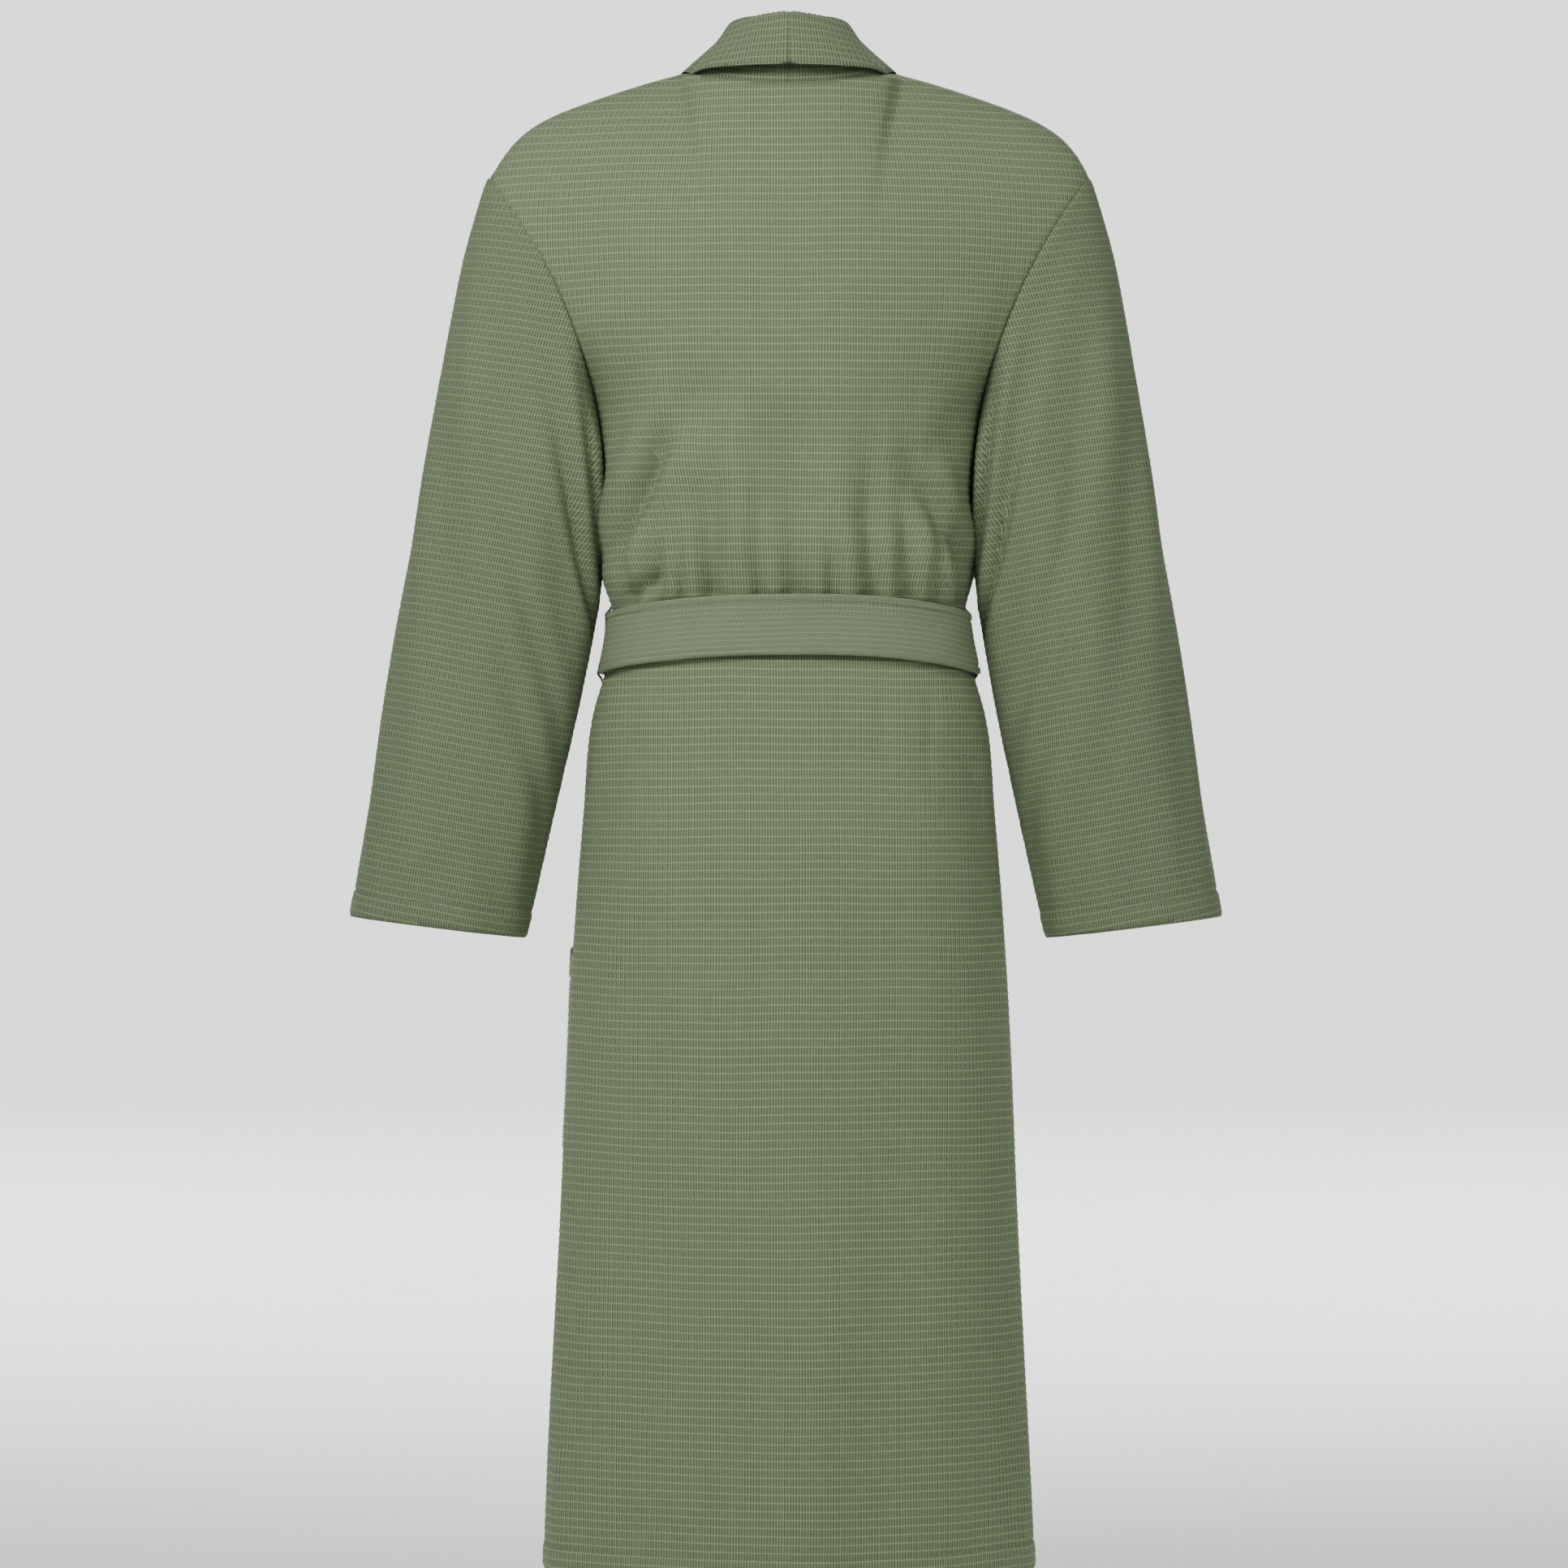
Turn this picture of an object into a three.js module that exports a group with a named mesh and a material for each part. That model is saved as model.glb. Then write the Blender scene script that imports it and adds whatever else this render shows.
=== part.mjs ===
// A wrapped bathrobe of waffle cotton in the shape it has when worn, with its belt tied in front.
// Millimetres. +Z is up, +Y is the wearer's back and +X is the wearer's left.
// The origin is on the shoulder line, in the middle of the neck opening.
import * as THREE from "three";

// Cloth, tape and the clearances between them
const clothThickness = 3;
const beltThickness = 4;
const tapeThickness = 2;
const labelThickness = 0.8;
const seamGap = 0.6; // between two pieces sewn edge to edge
const layerGap = 0.8; // between a piece and the cloth that it lies on

// Neck and shoulders
const neckHalfWidth = 88;
const backNeckDepth = 65;
const frontNeckDepth = 55;
const backNeckScoop = 18;
const shoulderHalfWidth = 242;
const shoulderDrop = 83;
const shoulderSlope = 0.62; // share of the drop that slopes evenly, before the turn into the sleeve
const shoulderTurnPower = 8;

// Body, from the armpits down: half widths, and depths from the side seams to the back and the front
const armpitDrop = 333;
const waistDrop = 450;
const hipDrop = 600;
const robeLength = 1200;
const halfWidths = { chest: 151, waist: 142, hip: 165, hem: 195 };
const backDepths = { chest: 112, waist: 94, hip: 126, hem: 140 };
const frontDepths = { chest: 120, waist: 98, hip: 116, hem: 136 };
const squareness = 2.3; // of the body's sections, where 2 is an ellipse
const shoulderRound = 0.5; // share of the armhole's height over which the shoulder rounds out

// Wrap of the fronts: how far each free edge passes the middle
const waistWrap = 70;
const hemWrap = 76;

// Sleeves
const armholeHalfDepth = 54;
const sleeveLength = 606;
const sleeveHang = THREE.MathUtils.degToRad(10.6);
const cuffSlant = THREE.MathUtils.degToRad(7);
const cuffWidth = 141;
const cuffHalfDepth = 46;
const elbowHalfDepth = 55;
// Handles of the curves along a sleeve's edges, out and up from the shoulder, cuff, armpit and cuff
const capHandle = [33, -87];
const outerCuffHandle = [-49, 279];
const armpitHandle = [6, -97];
const innerCuffHandle = [-23, 138];

// Collar: the stand rises from the neckline seam to the fold, and the fall comes down outside
const backStand = 60;
const sideStand = 37;
const backFall = 46;
const lapelWidth = 86;
const lapelEndWidth = 24;
const foldWidth = 7;
const backLean = 12; // how far the stand leans in over its height
const sideLean = 15;
const fallStandOff = 9;
const fallFlare = 1.05;
const frontStandOff = 8; // of the collar beside the neck, over its height further down

// Belt
const beltWidth = 50;
const beltDrop = 459; // from the shoulder line to the belt's middle line, at the sides
const beltBackRise = 14;
const knotWidth = 54;
const knotHeight = 52;
const knotDepth = 24;
const tailLength = 400;
const tailTopWidth = 24;
const tailSplay = THREE.MathUtils.degToRad(6);
const tailWidening = 190; // length over which a tail opens from its folded top to its full width
const tailStandOff = 2.4;
const beltLoopWidth = 10;
const beltLoopRoom = 9;
const beltLoopAcross = 0.93; // its place between the middle of the front at 0 and the side seam at 1

// Pockets
const pocketWidth = 124;
const pocketHeight = 165;
const pocketMouthDrop = 705;
const pocketFullness = 15;
const pocketFromSide = 18;

// Hanger loop and labels
const hangerHalfWidth = 32;
const hangerDrop = 42;
const hangerTapeWidth = 8;
const hangerBend = 12;
const neckLabelDrop = 58;
const neckLabelWidth = 44;
const neckLabelHeight = 18;
const careLabelWidth = 28;
const careLabelHeight = 55;
const careLabelDrop = 560;

// Middle of the collar's fall over the middle of the cloth below, and the same for the upper front
const collarEase = 0.6;
const collarLift = clothThickness + layerGap + collarEase;
const wrapEase = 0.6;
const wrapLift = 2 * collarLift + wrapEase;

// Numbers of steps in the meshes
const armholeSteps = 8;
const backColumns = 22;
const frontColumns = 17;
const sleeveSteps = 12;

const quarterTurn = Math.PI / 2;
const { lerp, clamp, smoothstep } = THREE.MathUtils;

// A smooth curve through values at the armpits, waist, hips and hem.
function profile(values) {
  const heights = [-robeLength, -hipDrop, -waistDrop, -armpitDrop];
  const samples = [values.hem, values.hip, values.waist, values.chest];
  const curve = new THREE.CubicInterpolant(heights, samples, 1, new Float64Array(1));
  return (height) => curve.evaluate(clamp(height, -robeLength, -armpitDrop))[0];
}

const bodyHalfWidth = profile(halfWidths);
const bodyDepth = { 1: profile(backDepths), "-1": profile(frontDepths) };

// Position "across" runs from 0 at the middle to 1 at the left side seam and -1 at the right one.
function widthShare(across) {
  const turn = Math.sin(across * quarterTurn);
  return Math.sign(turn) * Math.abs(turn) ** (2 / squareness);
}

function depthShare(width, power) {
  return Math.max(0, 1 - Math.abs(width) ** squareness) ** power;
}

function acrossAt(x, halfWidth) {
  const share = clamp(x / halfWidth, -1, 1);
  return (Math.sign(share) * Math.asin(Math.abs(share) ** (squareness / 2))) / quarterTurn;
}

// Position "down" runs from 0 at the shoulder line to 1 at the armpits and 2 at the hem.
function heightAt(down) {
  return down <= 1 ? -armpitDrop * down : lerp(-armpitDrop, -robeLength, down - 1);
}

function downAt(height) {
  const drop = -height;
  return drop <= armpitDrop
    ? drop / armpitDrop
    : 1 + (drop - armpitDrop) / (robeLength - armpitDrop);
}

function halfWidthAt(down) {
  if (down > 1) return bodyHalfWidth(heightAt(down));
  return halfWidths.chest + (shoulderHalfWidth - halfWidths.chest) * (1 - down) ** 2;
}

function shoulderLine(x, face) {
  const share = (Math.abs(x) - neckHalfWidth) / (shoulderHalfWidth - neckHalfWidth);
  if (share > 0) return -shoulderDrop * lerp(share ** shoulderTurnPower, share ** 1.15, shoulderSlope);
  const scoop = face > 0 ? backNeckScoop : 0;
  return -scoop * (1 - (x / neckHalfWidth) ** 2);
}

// Face is 1 for the back and -1 for the front.
function bodyPoint(across, down, face) {
  const width = widthShare(across);
  const x = halfWidthAt(down) * width;
  if (down > 1) {
    const height = heightAt(down);
    const y = bodyDepth[face](height) * depthShare(width, 1 / squareness);
    return new THREE.Vector3(x, face * (y + seamGap / 2), height);
  }
  // The yoke runs into the sleeves on a slope, and only the part below the armpits closes to a full oval.
  const depth = depthShare(width, lerp(1, 1 / squareness, smoothstep(down, 0.3, 1)));
  const seamX = shoulderHalfWidth * width;
  const armhole = armholeHalfDepth * 2 * Math.sqrt(Math.max(0, down * (1 - down)));
  const fullness = Math.sin(Math.min(1, down / shoulderRound) * quarterTurn) ** 0.75;
  const centre = bodyDepth[face](-armpitDrop) * fullness;
  const neckDepth = face > 0 ? backNeckDepth : frontNeckDepth;
  const neck = neckDepth * Math.sqrt(Math.max(0, 1 - (seamX / neckHalfWidth) ** 2));
  const y = armhole + (centre - armhole) * depth + neck * (1 - fullness);
  const z = lerp(shoulderLine(seamX, face), -armpitDrop, down);
  return new THREE.Vector3(x, face * (y + seamGap / 2), z);
}

// The free edge of the left front runs from the neck to past the middle at the waist, then to the hem.
function edgeX(down) {
  const drop = -heightAt(down);
  if (drop < waistDrop) return lerp(neckHalfWidth, -waistWrap, drop / waistDrop);
  return lerp(-waistWrap, -hemWrap, (drop - waistDrop) / (robeLength - waistDrop));
}

// A point of a surface moved out along the surface's normal.
function liftOff(surface, across, down, lift) {
  const step = 1e-3;
  const low = clamp(down - step, 0, 2);
  const high = clamp(down + step, 0, 2);
  const left = clamp(across - step, -1, 1);
  const right = clamp(across + step, -1, 1);
  const acrossTangent = surface(right, down).sub(surface(left, down));
  const downTangent = surface(across, high).sub(surface(across, low));
  const normal = acrossTangent.cross(downTangent).normalize();
  const point = surface(across, down);
  const outward = new THREE.Vector3(point.x, point.y, 30 + Math.max(0, 40 + point.z));
  if (normal.dot(outward) < 0) normal.negate();
  // At the armhole the cloth's end face lies along the seam, so its thickness has no sideways part there.
  if (Math.abs(across) > 1 - step && down < 1) normal.setX(0).normalize();
  return point.addScaledVector(normal, lift);
}

function backPoint(across, down, lift) {
  return liftOff((a, d) => bodyPoint(a, d, 1), across, down, lift);
}

// The right front lies on the body, and the left front rises over it and over its collar.
function frontLift(across, down) {
  return wrapLift * smoothstep(1 - across, 0, 0.36) * smoothstep(down, 0.12, 0.58);
}

function frontPoint(across, down, lift, upper) {
  const over = upper ? frontLift(across, down) : 0;
  return liftOff((a, d) => bodyPoint(a, d, -1), across, down, lift + over);
}

// Turns the faces round where a mirrored or turned-over shape left them pointing in.
function facingOut(geometry) {
  const spots = geometry.attributes.position;
  const index = geometry.index.array;
  const a = new THREE.Vector3();
  const b = new THREE.Vector3();
  const c = new THREE.Vector3();
  let volume = 0;
  for (let i = 0; i < index.length; i += 3) {
    a.fromBufferAttribute(spots, index[i]);
    b.fromBufferAttribute(spots, index[i + 1]);
    c.fromBufferAttribute(spots, index[i + 2]);
    volume += a.dot(b.cross(c));
  }
  if (volume < 0) {
    for (let i = 0; i < index.length; i += 3) {
      [index[i + 1], index[i + 2]] = [index[i + 2], index[i + 1]];
    }
  }
  geometry.computeVertexNormals();
  return geometry;
}

// A box of columns by rows, one step thick, bent by place(u, v, w) with each of u, v and w from 0 to 1.
function bentSlab(columns, rows, place) {
  const geometry = new THREE.BoxGeometry(1, 1, 1, columns, rows, 1).translate(0.5, 0.5, 0.5);
  const spots = geometry.attributes.position;
  for (let i = 0; i < spots.count; i += 1) {
    const point = place(spots.getX(i), spots.getY(i), spots.getZ(i));
    spots.setXYZ(i, point.x, point.y, point.z);
  }
  return facingOut(geometry);
}

// A ring with a square section, bent by place(turn, v, w) with turn from 0 to 2 pi.
function bentRing(around, rows, place) {
  const outline = [];
  for (let row = 0; row <= rows; row += 1) outline.push(new THREE.Vector2(2, row));
  for (let row = rows; row >= 0; row -= 1) outline.push(new THREE.Vector2(1, row));
  outline.push(new THREE.Vector2(2, 0));
  const geometry = new THREE.LatheGeometry(outline, around);
  const spots = geometry.attributes.position;
  const perTurn = outline.length;
  for (let i = 0; i < spots.count; i += 1) {
    const turn = (2 * Math.PI * (Math.floor(i / perTurn) % around)) / around;
    const corner = outline[i % perTurn];
    const point = place(turn, corner.y / rows, corner.x - 1);
    spots.setXYZ(i, point.x, point.y, point.z);
  }
  return facingOut(geometry);
}

const waffle = new THREE.MeshStandardMaterial({ color: 0x7f8a6c, roughness: 0.95, metalness: 0 });
const beltCloth = new THREE.MeshStandardMaterial({ color: 0x828d73, roughness: 0.92, metalness: 0 });
const tape = new THREE.MeshStandardMaterial({ color: 0x76826a, roughness: 0.85, metalness: 0 });
const labelCloth = new THREE.MeshStandardMaterial({ color: 0xe9e6dc, roughness: 0.7, metalness: 0 });

const robe = new THREE.Group();

function addPiece(name, geometry, material) {
  const piece = new THREE.Mesh(geometry, material);
  piece.name = name;
  robe.add(piece);
  return piece;
}

// Rows match a sleeve's steps along the armhole, are close under the belt and widen to the hem.
function bodyRows() {
  const rows = [];
  for (let step = 0; step < armholeSteps; step += 1) {
    rows.push((1 - Math.cos((Math.PI * step) / armholeSteps)) / 2);
  }
  const beltZone = beltWidth * 0.9;
  for (const share of [0, 0.5]) rows.push(downAt(-lerp(armpitDrop, beltDrop - beltZone, share)));
  for (const share of [-1, -0.6, -0.2, 0.2, 0.6, 1]) rows.push(downAt(-(beltDrop + share * beltZone)));
  for (const share of [0.08, 0.2, 0.35, 0.52, 0.7, 0.85, 1]) {
    rows.push(downAt(-lerp(beltDrop + beltZone, robeLength, share)));
  }
  return rows;
}

const rowDowns = bodyRows();
const lastRow = rowDowns.length - 1;

function rowDown(v) {
  return rowDowns[Math.round(v * lastRow)];
}

const neckAcross = acrossAt(neckHalfWidth, shoulderHalfWidth);
const neckColumns = 3 / 11; // share of the back's columns that lies along the neckline

function backAcross(u) {
  const side = 2 * u - 1;
  const reach = Math.abs(side);
  if (reach < neckColumns) return (side / neckColumns) * neckAcross;
  return Math.sign(side) * lerp(neckAcross, 1, (reach - neckColumns) / (1 - neckColumns));
}

function makeBack() {
  return bentSlab(backColumns, lastRow, (u, v, w) =>
    backPoint(backAcross(u), rowDown(v), (w - 0.5) * clothThickness),
  );
}

function makeFront(hand) {
  return bentSlab(frontColumns, lastRow, (u, v, w) => {
    const down = rowDown(v);
    const edge = acrossAt(edgeX(down), halfWidthAt(down));
    const across = lerp(edge, 1, u);
    const point = frontPoint(across, down, (w - 0.5) * clothThickness, hand > 0);
    point.x *= hand;
    return point;
  });
}

const shoulderPoint = new THREE.Vector3(shoulderHalfWidth, 0, -shoulderDrop);
const armpitPoint = new THREE.Vector3(halfWidths.chest, 0, -armpitDrop);

function edgeCurve(start, startHandle, endHandle, end) {
  const leaving = start.clone().add(new THREE.Vector3(startHandle[0], 0, startHandle[1]));
  const arriving = end.clone().add(new THREE.Vector3(endHandle[0], 0, endHandle[1]));
  return new THREE.CubicBezierCurve3(start, leaving, arriving, end);
}

function sleeveRails() {
  const hang = new THREE.Vector3(Math.sin(sleeveHang), 0, -Math.cos(sleeveHang));
  const inward = new THREE.Vector3(-Math.cos(cuffSlant), 0, -Math.sin(cuffSlant));
  const outerEnd = shoulderPoint.clone().addScaledVector(hang, sleeveLength);
  const innerEnd = outerEnd.clone().addScaledVector(inward, cuffWidth);
  return {
    outer: edgeCurve(shoulderPoint, capHandle, outerCuffHandle, outerEnd),
    inner: edgeCurve(armpitPoint, armpitHandle, innerCuffHandle, innerEnd),
  };
}

const rails = sleeveRails();

function sleeveHalfDepth(along) {
  if (along < 0.5) return lerp(armholeHalfDepth, elbowHalfDepth, smoothstep(along, 0, 0.5));
  return lerp(elbowHalfDepth, cuffHalfDepth, smoothstep(along, 0.5, 1));
}

// A section starts as the armhole's own curve and soon becomes an oval between the two rails.
function sleeveMiddle(turn, along) {
  const outer = rails.outer.getPoint(along);
  const inner = rails.inner.getPoint(along);
  const share = (1 - Math.cos(turn)) / 2;
  const oval = outer.lerp(inner, share);
  oval.y = sleeveHalfDepth(along) * Math.sin(turn);
  const armhole = new THREE.Vector3(halfWidthAt(share), 0, lerp(-shoulderDrop, -armpitDrop, share));
  const chord = lerp(shoulderHalfWidth, halfWidths.chest, share);
  oval.x += (armhole.x - chord) * (1 - smoothstep(along, 0, 0.45));
  oval.x += seamGap + clothThickness * share ** 2;
  return oval;
}

function sleevePoint(turn, along, lift) {
  const step = 1e-3;
  const low = Math.max(0, along - step);
  const high = Math.min(1, along + step);
  const aroundTangent = sleeveMiddle(turn + step, along).sub(sleeveMiddle(turn - step, along));
  const alongTangent = sleeveMiddle(turn, high).sub(sleeveMiddle(turn, low));
  const normal = alongTangent.cross(aroundTangent);
  if (along === 0) normal.setX(0);
  return sleeveMiddle(turn, along).addScaledVector(normal.normalize(), lift);
}

function makeSleeve(hand) {
  return bentRing(2 * armholeSteps, sleeveSteps, (turn, v, w) => {
    const point = sleevePoint(turn, v, (w - 0.5) * clothThickness);
    point.x *= hand;
    return point;
  });
}

const fallShares = [0.25, 0.5, 0.75, 1];

// A section of the collar, from the neckline seam up the stand, round the fold and down the fall.
function foldedSection(seam, fold, edge, room) {
  const rise = fold.clone().sub(seam).normalize();
  const outward = edge.clone().sub(seam);
  outward.addScaledVector(rise, -outward.dot(rise)).setLength(room);
  const inner = fold.clone().sub(outward);
  const outer = fold.clone().add(outward);
  const top = fold.clone().addScaledVector(rise, room);
  const points = [seam, seam.clone().lerp(inner, 0.5), inner, top, outer];
  for (const share of fallShares) points.push(outer.clone().lerp(edge, share));
  return points;
}

// Round the left half of the back of the neck, with share from 0 at the middle to 1 at the side.
function collarBackSection(share) {
  const turn = share * quarterTurn;
  const x = neckHalfWidth * Math.sin(turn);
  const y = backNeckDepth * Math.cos(turn);
  const seamRise = clothThickness / 2 + seamGap + lerp(layerGap, 5 * layerGap, share ** 2);
  const seam = new THREE.Vector3(x, y, seamRise - backNeckScoop * Math.cos(turn) ** 2);
  const stand = lerp(backStand, sideStand, share ** 1.5);
  const lean = lerp(backLean, sideLean, share);
  const fold = new THREE.Vector3(x * (1 - lean / neckHalfWidth), y - lean * Math.cos(turn), 0);
  fold.z = seam.z + Math.sqrt(stand ** 2 - lean ** 2);
  const edge = new THREE.Vector3(x * fallFlare, y + fallStandOff * Math.cos(turn), 0);
  edge.z = fold.z - lerp(backFall, sideStand - 4, share);
  return foldedSection(seam, fold, edge, clothThickness * 0.8);
}

// Down the front, where the collar turns out over the free edge and lies on the front.
function collarFrontSection(down, upper) {
  const halfWidth = halfWidthAt(down);
  const at = (x, lift) => frontPoint(acrossAt(x, halfWidth), down, lift, upper);
  const start = edgeX(down);
  const width = lerp(lapelWidth, lapelEndWidth, smoothstep(down, 0.45, collarEndDown));
  const spread = lerp(30, width, smoothstep(down, 0, 0.35));
  const loose = 1 - smoothstep(down, 0, 0.42); // the collar still stands off the neck here
  const rise = collarLift + frontStandOff * loose;
  const points = [
    at(start - 2 * seamGap - 4 * loose ** 2, 0),
    at(start - foldWidth * 0.6 - 3 * loose ** 2, 0),
    at(start - foldWidth, rise * 0.15),
    at(start - foldWidth * 1.25, rise * 0.55),
    at(start - foldWidth, rise + 7 * loose),
  ];
  for (const share of fallShares) {
    points.push(at(lerp(start - foldWidth, start + spread, share), rise + 6 * loose * (1 - share)));
  }
  return points;
}

const collarEndDown = downAt(-(beltDrop - beltWidth / 2 - 8));
const collarRows = 34;

function collarRails(upper) {
  const sections = [0, 0.3, 0.6, 0.85].map(collarBackSection);
  for (let step = 1; step <= 12; step += 1) {
    sections.push(collarFrontSection(lerp(0.1, collarEndDown, (step - 1) / 11), upper));
  }
  return sections[0].map((point, i) => new THREE.CatmullRomCurve3(sections.map((s) => s[i])));
}

function makeCollar(hand) {
  const curves = collarRails(hand > 0);
  const last = curves.length - 1;
  return bentSlab(collarRows, last, (u, v, w) => {
    const rail = Math.round(v * last);
    const step = 1e-3;
    const before = curves[rail].getPoint(Math.max(0, u - step));
    const after = curves[rail].getPoint(Math.min(1, u + step));
    const inner = curves[Math.max(0, rail - 1)].getPoint(u);
    const outer = curves[Math.min(last, rail + 1)].getPoint(u);
    const normal = after.sub(before).cross(outer.sub(inner)).normalize();
    const point = curves[rail].getPoint(u).addScaledVector(normal, (w - 0.5) * clothThickness);
    if (u === 0) point.x = seamGap / 2;
    point.x *= hand;
    return point;
  });
}

const beltLift = clothThickness / 2 + layerGap + beltThickness / 2;

// The belt rises over the upper front's free edge and comes down again to the right side.
function beltFrontLift(across, down) {
  if (across > 0) return frontLift(across, down);
  return wrapLift * smoothstep(across, -0.8, -0.36);
}

// Heights are from the belt's middle line, which is higher at the wearer's back.
function beltPoint(across, face, height, lift) {
  const rise = face > 0 ? beltBackRise * Math.cos(across * quarterTurn) ** 2 : 0;
  const down = downAt(height + rise - beltDrop);
  if (face > 0) return backPoint(across, down, lift);
  return frontPoint(across, down, lift + beltFrontLift(across, down), false);
}

function makeBeltBand() {
  return bentRing(72, 2, (turn, v, w) => {
    const half = turn / quarterTurn; // 0 at the left side, 1 at the back, 2 at the right side, 3 in front
    const face = half <= 2 ? 1 : -1;
    const across = half <= 2 ? 1 - half : half - 3;
    const lift = beltLift + (w - 0.5) * beltThickness;
    return beltPoint(across, face, (0.5 - v) * beltWidth, lift);
  });
}

// The foremost part of the belt, which the knot lies on.
const beltFrontY = beltPoint(0, -1, -beltWidth / 2, beltLift + beltThickness / 2).y;

function roundedRectangle(width, height, radius) {
  const x = width / 2;
  const y = height / 2;
  const shape = new THREE.Shape();
  shape.moveTo(-x + radius, -y);
  shape.lineTo(x - radius, -y);
  shape.quadraticCurveTo(x, -y, x, -y + radius);
  shape.lineTo(x, y - radius);
  shape.quadraticCurveTo(x, y, x - radius, y);
  shape.lineTo(-x + radius, y);
  shape.quadraticCurveTo(-x, y, -x, y - radius);
  shape.lineTo(-x, -y + radius);
  shape.quadraticCurveTo(-x, -y, -x + radius, -y);
  return shape;
}

function makeKnot() {
  const bevel = 5;
  const outline = roundedRectangle(knotWidth - 2 * bevel, knotHeight - 2 * bevel, 10);
  const geometry = new THREE.ExtrudeGeometry(outline, {
    depth: knotDepth - 2 * bevel,
    curveSegments: 3,
    bevelSize: bevel,
    bevelThickness: bevel,
    bevelSegments: 2,
  });
  geometry.rotateX(quarterTurn);
  return geometry.translate(0, beltFrontY - layerGap - bevel, -beltDrop);
}

// Each tail hangs from a rounded top end under the knot and lies along the skirt.
const tailHinge = new THREE.Vector3(
  tailTopWidth / 2 + 1,
  beltFrontY - layerGap - knotDepth * 0.45,
  -beltDrop - knotHeight / 2 - seamGap - beltThickness / 2,
);

function makeTail(hand) {
  const endDown = downAt(tailHinge.z - tailLength);
  const skirt = frontPoint(0, endDown, clothThickness / 2, true);
  const slope = Math.atan2(skirt.y - tailStandOff - beltThickness / 2 - tailHinge.y, -tailLength);
  const rows = 14;
  const geometry = bentSlab(4, rows, (u, v, w) => {
    const top = v === 0; // tapered, so that it turns under the knot without touching it
    const along = top ? -beltThickness / 2 : lerp(beltThickness / 2, tailLength, (v * rows - 1) / (rows - 1));
    const width = lerp(tailTopWidth, beltWidth, smoothstep(along, 0, tailWidening));
    const thickness = top ? beltThickness * 0.3 : beltThickness;
    return new THREE.Vector3((u - 0.5) * width, (w - 0.5) * thickness, -along);
  });
  geometry.rotateX(-slope + Math.PI);
  geometry.rotateY(-tailSplay * hand);
  return facingOut(geometry.translate(tailHinge.x * hand, tailHinge.y, tailHinge.z));
}

// A strip sewn to the cloth above and below the belt, just in front of the side seam.
function makeBeltLoop(hand) {
  const halfHeight = beltWidth / 2 + beltLoopRoom;
  const perAcross = beltPoint(0.94, -1, 0, 0).distanceTo(beltPoint(0.92, -1, 0, 0)) / 0.02;
  return bentSlab(2, 12, (u, v, w) => {
    const height = lerp(halfHeight, -halfHeight, v);
    const clear = smoothstep(halfHeight - Math.abs(height), 1.5, beltLoopRoom - 1.5);
    const base = clothThickness / 2 + 1.5 * layerGap;
    const over = beltLift + beltThickness / 2 + layerGap;
    const lift = lerp(base, over, clear) + tapeThickness * w;
    const across = hand * (beltLoopAcross + ((u - 0.5) * beltLoopWidth) / perAcross);
    return beltPoint(across, -1, height, lift);
  });
}

// A patch with its sides and bottom on the front and its mouth standing open.
function makePocket(hand) {
  const middleDown = downAt(-(pocketMouthDrop + pocketHeight / 2));
  const side = sideDistanceToAcross(middleDown);
  const base = clothThickness + layerGap;
  return bentSlab(12, 8, (u, v, w) => {
    const down = downAt(-(pocketMouthDrop + v * pocketHeight));
    const across = side(lerp(pocketFromSide + pocketWidth, pocketFromSide, u));
    const bulge = Math.sin(Math.PI * u) ** 0.7 * Math.cos(v * quarterTurn) ** 0.5;
    const lift = base + pocketFullness * bulge + (w - 0.5) * clothThickness;
    const point = frontPoint(across, down, lift, hand > 0);
    point.x *= hand;
    return point;
  });
}

// Turns a distance measured round the front from the side seam into a position across.
function sideDistanceToAcross(down) {
  const marks = [0];
  const steps = 200;
  let last = bodyPoint(1, down, -1);
  for (let i = 1; i <= steps; i += 1) {
    const next = bodyPoint(1 - i / steps, down, -1);
    marks.push(marks[i - 1] + next.distanceTo(last));
    last = next;
  }
  return (distance) => {
    const after = marks.findIndex((mark) => mark >= distance);
    const share = (distance - marks[after - 1]) / (marks[after] - marks[after - 1]);
    return 1 - (after - 1 + share) / steps;
  };
}

// The tape's ends meet the neckline, and turn there as the loop is lifted.
const hangerEndX = hangerHalfWidth + hangerTapeWidth / 2;
const hangerEndShare = 1 - (hangerEndX / neckHalfWidth) ** 2;
const hangerHinge = new THREE.Vector3(
  0,
  backNeckDepth * Math.sqrt(hangerEndShare) - seamGap - tapeThickness / 2,
  -backNeckScoop * hangerEndShare - clothThickness / 2 - 1.5 * seamGap,
);

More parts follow.
